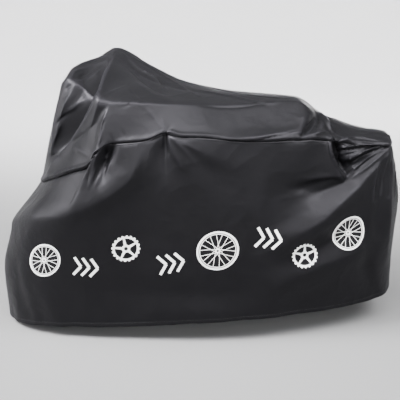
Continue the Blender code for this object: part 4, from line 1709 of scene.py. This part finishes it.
def sheet_faces(outer: np.ndarray, inner: np.ndarray, folded: bool) -> list:
    """Faces of a thick sheet.

    Args:
        outer: vertex numbers of the outside, as (row, column).
        inner: vertex numbers of the inside, likewise.
        folded: whether the sheet's first and last columns are folds, with no edge there.

    Returns:
        Four vertex numbers a face.
    """
    groups = [
        quads(outer[:-1, :-1], outer[:-1, 1:], outer[1:, 1:], outer[1:, :-1]),
        quads(inner[:-1, :-1], inner[1:, :-1], inner[1:, 1:], inner[:-1, 1:]),
        quads(outer[0, 1:], outer[0, :-1], inner[0, :-1], inner[0, 1:]),
        quads(outer[-1, :-1], outer[-1, 1:], inner[-1, 1:], inner[-1, :-1]),
    ]
    if not folded:
        groups.append(quads(outer[:-1, 0], outer[1:, 0], inner[1:, 0], inner[:-1, 0]))
        groups.append(quads(outer[1:, -1], outer[:-1, -1], inner[:-1, -1], inner[1:, -1]))
    return np.concatenate(groups).tolist()


def drop_loose(mesh: bpy.types.Mesh) -> None:
    """Takes out vertices that no face uses.

    Args:
        mesh: the mesh that is cleaned.
    """
    shape = bmesh.new()
    shape.from_mesh(mesh)
    loose = [vert for vert in shape.verts if not vert.link_faces]
    bmesh.ops.delete(shape, geom=loose, context="VERTS")
    shape.to_mesh(mesh)
    shape.free()


@dataclass(frozen=True)
class Stitching:
    """Rows of lockstitches, laid on the cloth by Geometry Nodes.

    pitch, length, radius: from stitch to stitch, and the size of one
    lift: how far its middle lies above the cloth
    seam_offset, hem_offset, end_offset: how far from its edge each row runs
    sway: how far a stitch turns aside at most, in radians
    """

    pitch: float = 0.0042
    length: float = 0.0034
    radius: float = 0.00034
    lift: float = 0.00012
    seam_offset: float = 0.0066
    hem_offset: float = HEM_STITCHES
    end_offset: float = 0.0045
    sway: float = 0.12
    seed: int = 11

    def rows(self, drape: Drape) -> dict[str, list[tuple[np.ndarray, np.ndarray]]]:
        """The lines that the rows of stitches follow.

        Args:
            drape: the outside of the whole cover.

        Returns:
            By piece, each line's points and the outward directions there.
        """
        return {
            "stitches_left_seam": [drape.beside_row(drape.seam_left, -self.seam_offset)],
            "stitches_right_seam": [drape.beside_row(drape.seam_right, self.seam_offset)],
            "stitches_hem": [
                drape.beside_row(0, self.hem_offset),
                drape.beside_row(len(drape.points) - 1, -self.hem_offset),
            ],
            "stitches_ends": [
                drape.beside_end(False, self.end_offset),
                drape.beside_end(True, self.end_offset),
            ],
        }

    def tree(self, finish: bpy.types.Material) -> bpy.types.NodeTree:
        """Makes the nodes that lay one stitch after another along each line.

        Args:
            finish: the thread's material.

        Returns:
            The nodes.
        """
        tree = bpy.data.node_groups.new("stitch_rows", "GeometryNodeTree")
        tree.interface.new_socket("Geometry", in_out="INPUT", socket_type="NodeSocketGeometry")
        for name in ("Pitch", "Length", "Radius"):
            tree.interface.new_socket(name, in_out="INPUT", socket_type="NodeSocketFloat")
        tree.interface.new_socket("Geometry", in_out="OUTPUT", socket_type="NodeSocketGeometry")
        graph = Graph(tree)
        given = graph.add("NodeGroupInput").outputs
        line = graph.add("GeometryNodeMeshToCurve", None, {"Mesh": given["Geometry"]})
        even = graph.add(
            "GeometryNodeResampleCurve",
            {"mode": "LENGTH"},
            {"Curve": line.outputs[0], "Length": given["Pitch"]},
        )
        out = graph.add(
            "GeometryNodeInputNamedAttribute", {"data_type": "FLOAT_VECTOR"}, {"Name": "out"}
        )
        tangent = graph.add("GeometryNodeInputTangent")
        upright = graph.add(
            "FunctionNodeAlignRotationToVector", {"axis": "Z"}, {"Vector": out.outputs["Attribute"]}
        )
        turned = graph.add(
            "FunctionNodeAlignRotationToVector",
            {"axis": "X", "pivot_axis": "Z"},
            {"Rotation": upright.outputs[0], "Vector": tangent.outputs[0]},
        )
        sway = graph.add(
            "FunctionNodeRandomValue",
            {"data_type": "FLOAT_VECTOR"},
            {"Min": (0, 0, -self.sway), "Max": (0, 0, self.sway), "Seed": self.seed},
        )
        swayed = graph.add(
            "FunctionNodeRotateRotation",
            {"rotation_space": "LOCAL"},
            {"Rotation": turned.outputs[0], "Rotate By": sway.outputs[0]},
        )
        stitch = graph.add(
            "GeometryNodeMeshUVSphere", None, {"Segments": 6, "Rings": 5, "Radius": 1.0}
        )
        size = graph.add(
            "ShaderNodeCombineXYZ",
            None,
            {0: Number(graph, given["Length"]) / 2, 1: given["Radius"], 2: given["Radius"]},
        )
        placed = graph.add(
            "GeometryNodeInstanceOnPoints",
            None,
            {
                "Points": even.outputs[0],
                "Instance": stitch.outputs[0],
                "Rotation": swayed.outputs[0],
                "Scale": size.outputs[0],
            },
        )
        real = graph.add("GeometryNodeRealizeInstances", None, {0: placed.outputs[0]})
        dressed = graph.add(
            "GeometryNodeSetMaterial", None, {"Geometry": real.outputs[0], "Material": finish}
        )
        graph.add("NodeGroupOutput", None, {0: dressed.outputs[0]})
        return tree

    def build(self, drape: Drape, finish: bpy.types.Material) -> list[bpy.types.Object]:
        """Makes the rows of stitches.

        Args:
            drape: the outside of the whole cover.
            finish: the thread's material.

        Returns:
            One piece for each seam or hem.
        """
        tree = self.tree(finish)
        pieces = []
        for name, lines in self.rows(drape).items():
            points = np.concatenate([line + self.lift * out for line, out in lines])
            starts = np.cumsum([0] + [len(line) for line, _ in lines])
            spans = zip(starts[:-1], starts[1:])
            edges = [(k, k + 1) for start, end in spans for k in range(start, end - 1)]
            guide = bpy.data.meshes.new(name + "_guide")
            guide.from_pydata(points, edges, [])
            outs = np.concatenate([out for _, out in lines]).astype(np.float32)
            outward = guide.attributes.new("out", "FLOAT_VECTOR", "POINT")
            outward.data.foreach_set("vector", outs.ravel())
            pieces.append(delivered(self.laid(name, guide, tree)))
        return pieces

    def laid(
        self, name: str, guide: bpy.types.Mesh, tree: bpy.types.NodeTree
    ) -> bpy.types.Object:
        """Runs the nodes on a guide mesh and keeps the stitches as a plain mesh.

        Args:
            name: name of the piece.
            guide: the lines that the stitches follow.
            tree: the nodes.

        Returns:
            The piece, with no modifier on it.
        """
        sizes = {"Pitch": self.pitch, "Length": self.length, "Radius": self.radius}
        piece = linked(name, guide)
        modifier = piece.modifiers.new("rows", "NODES")
        modifier.node_group = tree
        for item in tree.interface.items_tree:
            if item.name in sizes:
                modifier[item.identifier] = sizes[item.name]
        view = bpy.context.evaluated_depsgraph_get()
        mesh = bpy.data.meshes.new_from_object(piece.evaluated_get(view), depsgraph=view)
        piece.modifiers.remove(modifier)
        piece.data = mesh
        mesh.name = name
        mesh.shade_smooth()
        return piece


# ---- the print


class Motif(Enum):
    """What the print shows."""

    WHEEL = "wheel"
    COG = "cog"
    CHEVRONS = "chevrons"


@dataclass(frozen=True)
class PrintedMotif:
    """One motif of the print.

    along, above: its middle, as a run along the cloth and a height above the hem
    turn: how far it is turned, in degrees
    """

    motif: Motif
    along: float
    above: float
    radius: float
    turn: float = 0.0


@dataclass(frozen=True)
class PrintBand:
    """The row of white motifs on the left skirt, as a thin film on the cloth.

    cell: size of the film's faces
    rise, depth: how far its top lies above the cloth, and its thickness
    layer_step: how much lower a strip lies than the one that it crosses
    spokes, teeth, arms: how many there are
    spoke_slant, spoke_width: the slant in radians, the width in metres
    arm_taper: an arm's width at its outer end, as a share of that at its inner end
    the others: shares of a motif's radius
    """

    motifs: tuple[PrintedMotif, ...] = (
        PrintedMotif(Motif.WHEEL, -0.70, 0.330, 0.082, 4),
        PrintedMotif(Motif.CHEVRONS, -0.500, 0.300, 0.052, -6),
        PrintedMotif(Motif.COG, -0.315, 0.385, 0.062, 10),
        PrintedMotif(Motif.CHEVRONS, -0.130, 0.300, 0.052, 8),
        PrintedMotif(Motif.WHEEL, 0.075, 0.345, 0.090, 15),
        PrintedMotif(Motif.CHEVRONS, 0.285, 0.390, 0.052, -8),
        PrintedMotif(Motif.COG, 0.455, 0.300, 0.058, 0),
        PrintedMotif(Motif.WHEEL, 0.665, 0.375, 0.078, 9),
    )
    cell: float = 0.004
    rise: float = 0.00045
    depth: float = 0.0006
    layer_step: float = 0.00005
    tyre: Row = (0.905, 1.0)
    rim: Row = (0.835, 0.868)
    hub: Row = (0.055, 0.135)
    spokes: int = 18
    spoke_reach: Row = (0.12, 0.85)
    spoke_slant: float = 0.75
    spoke_width: float = 0.0021
    cog_ring: Row = (0.78, 0.93)
    cog_middle: Row = (0.14, 0.30)
    teeth: int = 20
    tooth: float = 0.08
    arms: int = 5
    arm_reach: Row = (0.27, 0.81)
    arm_width: float = 0.20
    arm_taper: float = 0.6
    chevron_pitch: float = 0.72
    chevron_length: float = 0.62
    chevron_half: float = 0.85
    chevron_width: float = 0.24
    chevron_tip: float = 0.45

    def build(self, drape: Drape, finish: bpy.types.Material) -> bpy.types.Object:
        """Makes the film and lays it on the cloth.

        Args:
            drape: the outside of the whole cover.
            finish: the ink's material.

        Returns:
            The film, as one piece.
        """
        table = ClothTable(drape, self.cell)
        points, faces = [], []
        for motif in self.motifs:
            for strip, closed, step in self.strips(motif):
                top, out = table.at(strip)
                count, run = strip.shape[:2]
                made = sum(len(part) for part in points)
                numbers = np.arange(count * run).reshape(count, run) + made
                if closed:
                    numbers[:, -1] = numbers[:, 0]
                under = numbers + count * run
                faces += sheet_faces(numbers, under, closed)
                top = top + (self.rise - step * self.layer_step) * out
                bottom = top - self.depth * out
                points.append(np.concatenate([top.reshape(-1, 3), bottom.reshape(-1, 3)]))
        mesh = bpy.data.meshes.new("print_band")
        mesh.from_pydata(np.concatenate(points), [], faces)
        drop_loose(mesh)
        mesh.shade_smooth()
        mesh.set_sharp_from_angle(angle=math.radians(40))
        mesh.materials.append(finish)
        return delivered(linked("print_band", mesh))

    def strips(self, motif: PrintedMotif) -> list[tuple[np.ndarray, bool, int]]:
        """The strips of one motif, turned and moved to its place.

        Args:
            motif: the motif.

        Returns:
            For each strip a grid of (along, above), whether it closes, and its layer.
        """
        makers = {Motif.WHEEL: self.wheel, Motif.COG: self.cog, Motif.CHEVRONS: self.chevrons}
        turn = math.radians(motif.turn)
        spin = np.array([[math.cos(turn), math.sin(turn)], [-math.sin(turn), math.cos(turn)]])
        middle = (motif.along, motif.above)
        made = makers[motif.motif](motif.radius)
        return [(strip @ spin + middle, closed, step) for strip, closed, step in made]

    def ring(self, inner: float, outer: float, teeth: int = 0, tooth: float = 0.0) -> np.ndarray:
        """A ring round the middle.

        Args:
            inner: its inner radius.
            outer: its outer radius, without teeth.
            teeth: how many square teeth it has.
            tooth: how far they stand out.

        Returns:
            Its strip, as (layer, step, 2).
        """
        per_tooth = 8
        count = teeth * per_tooth if teeth else max(36, round(2 * math.pi * outer / self.cell))
        angle = np.linspace(0, 2 * math.pi, count + 1)
        reach = np.full(count + 1, outer)
        if teeth:
            reach += tooth * (np.arange(count + 1) % per_tooth < per_tooth / 2)
        layers = max(1, round((outer - inner) / self.cell))
        share = np.linspace(0, 1, layers + 1)[:, None]
        radius = reach * (1 - share) + inner * share
        return np.stack([radius * np.cos(angle), radius * np.sin(angle)], axis=-1)

    def bar(self, start: Row, end: Row, width: float, taper: float = 1.0) -> np.ndarray:
        """A straight bar.

        Args:
            start: the middle of one end.
            end: the middle of the other end.
            width: its width at the start.
            taper: its width at the end, as a share.

        Returns:
            Its strip, as (layer, step, 2).
        """
        start, end = np.array(start), np.array(end)
        length = np.linalg.norm(end - start)
        along = np.linspace(0, 1, max(2, round(length / self.cell)) + 1)[:, None]
        square = np.array([start[1] - end[1], end[0] - start[0]]) / length * width / 2
        square = square * (1 + (taper - 1) * along)
        middle = start + (end - start) * along
        layers = max(1, round(width / self.cell))
        share = np.linspace(-1, 1, layers + 1)[:, None, None]
        return middle + square * share

    def wheel(self, radius: float) -> list[tuple[np.ndarray, bool, int]]:
        """A spoked wheel: tyre, rim, hub and crossed spokes.

        Args:
            radius: its radius.

        Returns:
            Its strips, whether each closes, and their layers.
        """
        rings = (self.tyre, self.rim, self.hub)
        made = [(self.ring(radius * inner, radius * outer), True, 0) for inner, outer in rings]
        near, far = (radius * share for share in self.spoke_reach)
        for k in range(self.spokes):
            angle = 2 * math.pi * k / self.spokes
            slant = angle + (self.spoke_slant if k % 2 else -self.spoke_slant)
            start = (near * math.cos(slant), near * math.sin(slant))
            end = (far * math.cos(angle), far * math.sin(angle))
            made.append((self.bar(start, end, self.spoke_width), False, 1 + k % 2))
        return made

    def cog(self, radius: float) -> list[tuple[np.ndarray, bool, int]]:
        """A chain wheel: a toothed ring, its middle and the arms between them.

        Args:
            radius: its radius.

        Returns:
            Its strips, whether each closes, and their layers.
        """
        inner, outer = (radius * share for share in self.cog_ring)
        made = [(self.ring(inner, outer, self.teeth, radius * self.tooth), True, 0)]
        inner, outer = (radius * share for share in self.cog_middle)
        made.append((self.ring(inner, outer), True, 0))
        near, far = (radius * share for share in self.arm_reach)
        for k in range(self.arms):
            angle = 2 * math.pi * (k + 0.25) / self.arms
            start = (near * math.cos(angle), near * math.sin(angle))
            end = (far * math.cos(angle), far * math.sin(angle))
            arm = self.bar(start, end, radius * self.arm_width, self.arm_taper)
            made.append((arm, False, 1))
        return made

    def chevrons(self, radius: float) -> list[tuple[np.ndarray, bool, int]]:
        """Three chevrons in a row that point to the rear.

        Args:
            radius: half their height and more, as a wheel's radius.

        Returns:
            Their strips, whether each closes, and their layers.
        """
        made = []
        for k in (-1, 0, 1):
            tip = (radius * (k * self.chevron_pitch + self.chevron_tip), 0.0)
            for side in (-1, 1):
                tail = (tip[0] - radius * self.chevron_length, side * radius * self.chevron_half)
                arm = self.bar(tip, tail, radius * self.chevron_width)
                made.append((arm, False, 0 if side < 0 else 1))
        return made


class ClothTable:
    """Where a point of the left skirt lies, by its run along the cloth and its height above the hem.

    low_above, high_above: the heights between which it can be asked
    reach: the run forward and back that it covers
    """

    low_above: float = 0.12
    high_above: float = 0.56
    reach: float = 0.90

    def __init__(self, drape: Drape, cell: float) -> None:
        """Reads the cloth on an even grid of its own run and height.

        Args:
            drape: the outside of the whole cover.
            cell: the grid's spacing.
        """
        self.cell = cell
        self.runs = np.arange(-self.reach, self.reach, cell)
        self.heights = np.arange(self.low_above, self.high_above, cell)
        rows = slice(0, drape.seam_left + 1)
        given = np.concatenate([drape.points, drape.normals, drape.along[..., None]], axis=-1)
        given = given[rows]
        self.table = np.zeros((len(self.heights), len(self.runs), 6))
        above = drape.from_hem[rows]
        for k, height in enumerate(self.heights):
            level = read_columns(np.full(given.shape[1], height), above, given)
            run = level[:, 6] - np.interp(0, level[:, 0], level[:, 6])
            for part in range(6):
                self.table[k, :, part] = np.interp(self.runs, run, level[:, part])

    def at(self, places: np.ndarray) -> tuple[np.ndarray, np.ndarray]:
        """Reads the table between its points.

        Args:
            places: what is asked for, as (..., (along, above)).

        Returns:
            Points of the cloth and its outward directions there.
        """
        u = np.clip((places[..., 0] - self.runs[0]) / self.cell, 0, len(self.runs) - 2)
        v = np.clip((places[..., 1] - self.heights[0]) / self.cell, 0, len(self.heights) - 2)
        i, j = np.floor(v).astype(int), np.floor(u).astype(int)
        s, t = (v - i)[..., None], (u - j)[..., None]
        low = self.table[i, j] * (1 - t) + self.table[i, j + 1] * t
        high = self.table[i + 1, j] * (1 - t) + self.table[i + 1, j + 1] * t
        found = low * (1 - s) + high * s
        return found[..., :3], unit(found[..., 3:])


# ---- the studio


@dataclass(frozen=True)
class SoftLight:
    """A square of soft light.

    size: its two sides
    power: in watts
    aim: the point that it faces
    spread: how far its light fans out, in degrees
    """

    name: str
    place: Row
    size: tuple[float, float]
    power: float
    aim: Row = (0.0, 0.0, 0.6)
    spread: float = 180

    def build(self) -> None:
        """Makes the light."""
        light = bpy.data.lights.new(self.name, "AREA")
        light.shape = "RECTANGLE"
        light.size, light.size_y = self.size
        light.energy = self.power
        light.spread = math.radians(self.spread)
        way = Vector(self.aim) - Vector(self.place)
        turn = way.to_track_quat("-Z", "Y").to_matrix().to_4x4()
        linked(self.name, light).matrix_world = Matrix.Translation(self.place) @ turn


@dataclass(frozen=True)
class Studio:
    """Camera, pale floor, soft lights and a pale surround."""

    floor_size: float = 120.0
    floor_height: float = -0.0012
    surround: float = 0.27
    lights: tuple[SoftLight, ...] = (
        SoftLight("key_light", (-0.6, -1.0, 3.8), (3.8, 2.2), 500),
        SoftLight("right_light", (2.6, -1.2, 3.4), (1.8, 2.2), 420),
        SoftLight("left_light", (-2.3, -1.0, 3.2), (1.6, 1.6), 190, (0.0, 0.0, 0.6), 90),
        SoftLight("low_left_light", (-3.4, -0.4, 1.5), (1.8, 1.5), 36, (0.0, 0.0, 0.6), 90),
        SoftLight("fill_light", (0.0, -4.6, 2.2), (3.0, 1.6), 60, (0.0, 0.0, 0.6), 90),
        SoftLight("far_side_light", (0.6, 4.0, 0.4), (3.0, 0.5), 22, (0.0, 0.0, 0.4), 90),
        SoftLight("back_floor_light", (0.0, 5.2, 7.0), (6.0, 6.6), 1900, (0.0, 5.2, 0.0), 24),
        SoftLight("far_floor_light", (0.0, 27.0, 7.0), (80.0, 36.0), 125000, (0.0, 27.0, 0.0), 30),
        SoftLight("front_floor_light", (0.0, -24.4, 7.0), (80.0, 40.0), 125000, (0.0, -24.4, 0.0), 30),
        SoftLight("left_floor_light", (-24.4, 2.0, 7.0), (40.0, 14.0), 22000, (-24.4, 2.0, 0.0), 30),
        SoftLight("right_floor_light", (24.4, 2.0, 7.0), (40.0, 14.0), 22000, (24.4, 2.0, 0.0), 30),
    )

    def build(self, floor: bpy.types.Material) -> None:
        """Makes the studio round the object.

        Args:
            floor: the floor's material.
        """
        self.camera()
        for light in self.lights:
            light.build()
        half = self.floor_size / 2
        signs = ((-1, -1), (1, -1), (1, 1), (-1, 1))
        corners = [(x * half, y * half, self.floor_height) for x, y in signs]
        mesh = bpy.data.meshes.new("floor")
        mesh.from_pydata(corners, [], [(0, 1, 2, 3)])
        mesh.materials.append(floor)
        linked("floor", mesh)
        world = bpy.data.worlds.new("surround")
        world.use_nodes = True
        bpy.context.scene.world = world
        background = world.node_tree.nodes["Background"]
        background.inputs["Color"].default_value = (1, 1, 1, 1)
        background.inputs["Strength"].default_value = self.surround

    def camera(self) -> None:
        """Makes the camera at the photograph's angle."""
        data = bpy.data.cameras.new("camera")
        data.sensor_width = VIEW.sensor
        data.lens = VIEW.lens
        camera = linked("camera", data)
        camera.location = VIEW.place
        camera.rotation_euler = (math.radians(90 - VIEW.elevation), 0, 0)
        bpy.context.scene.camera = camera


# ---- the whole


SHEETS = (
    Sheet("skirt_left", 0, 1, False, (0.90, 2.05), 1.63),
    Sheet("crown", 1, 2, True, (1.29, 1.95), 1.20),
    Sheet("skirt_right", 2, 3, False, (0.90, 2.05), 1.61),
)


def main() -> None:
    """Builds the cover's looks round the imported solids."""
    logging.basicConfig(level=logging.INFO, format="%(name)s: %(message)s")
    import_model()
    drape = Drape()
    cloth = CoatedCloth().material()
    sheets = [sheet.build(drape, cloth) for sheet in SHEETS]
    stitches = Stitching().build(drape, SewingThread().material())
    band = PrintBand().build(drape, PrintInk().material())
    Studio().build(PaleFloor().material())


if __name__ == "__main__":
    main()
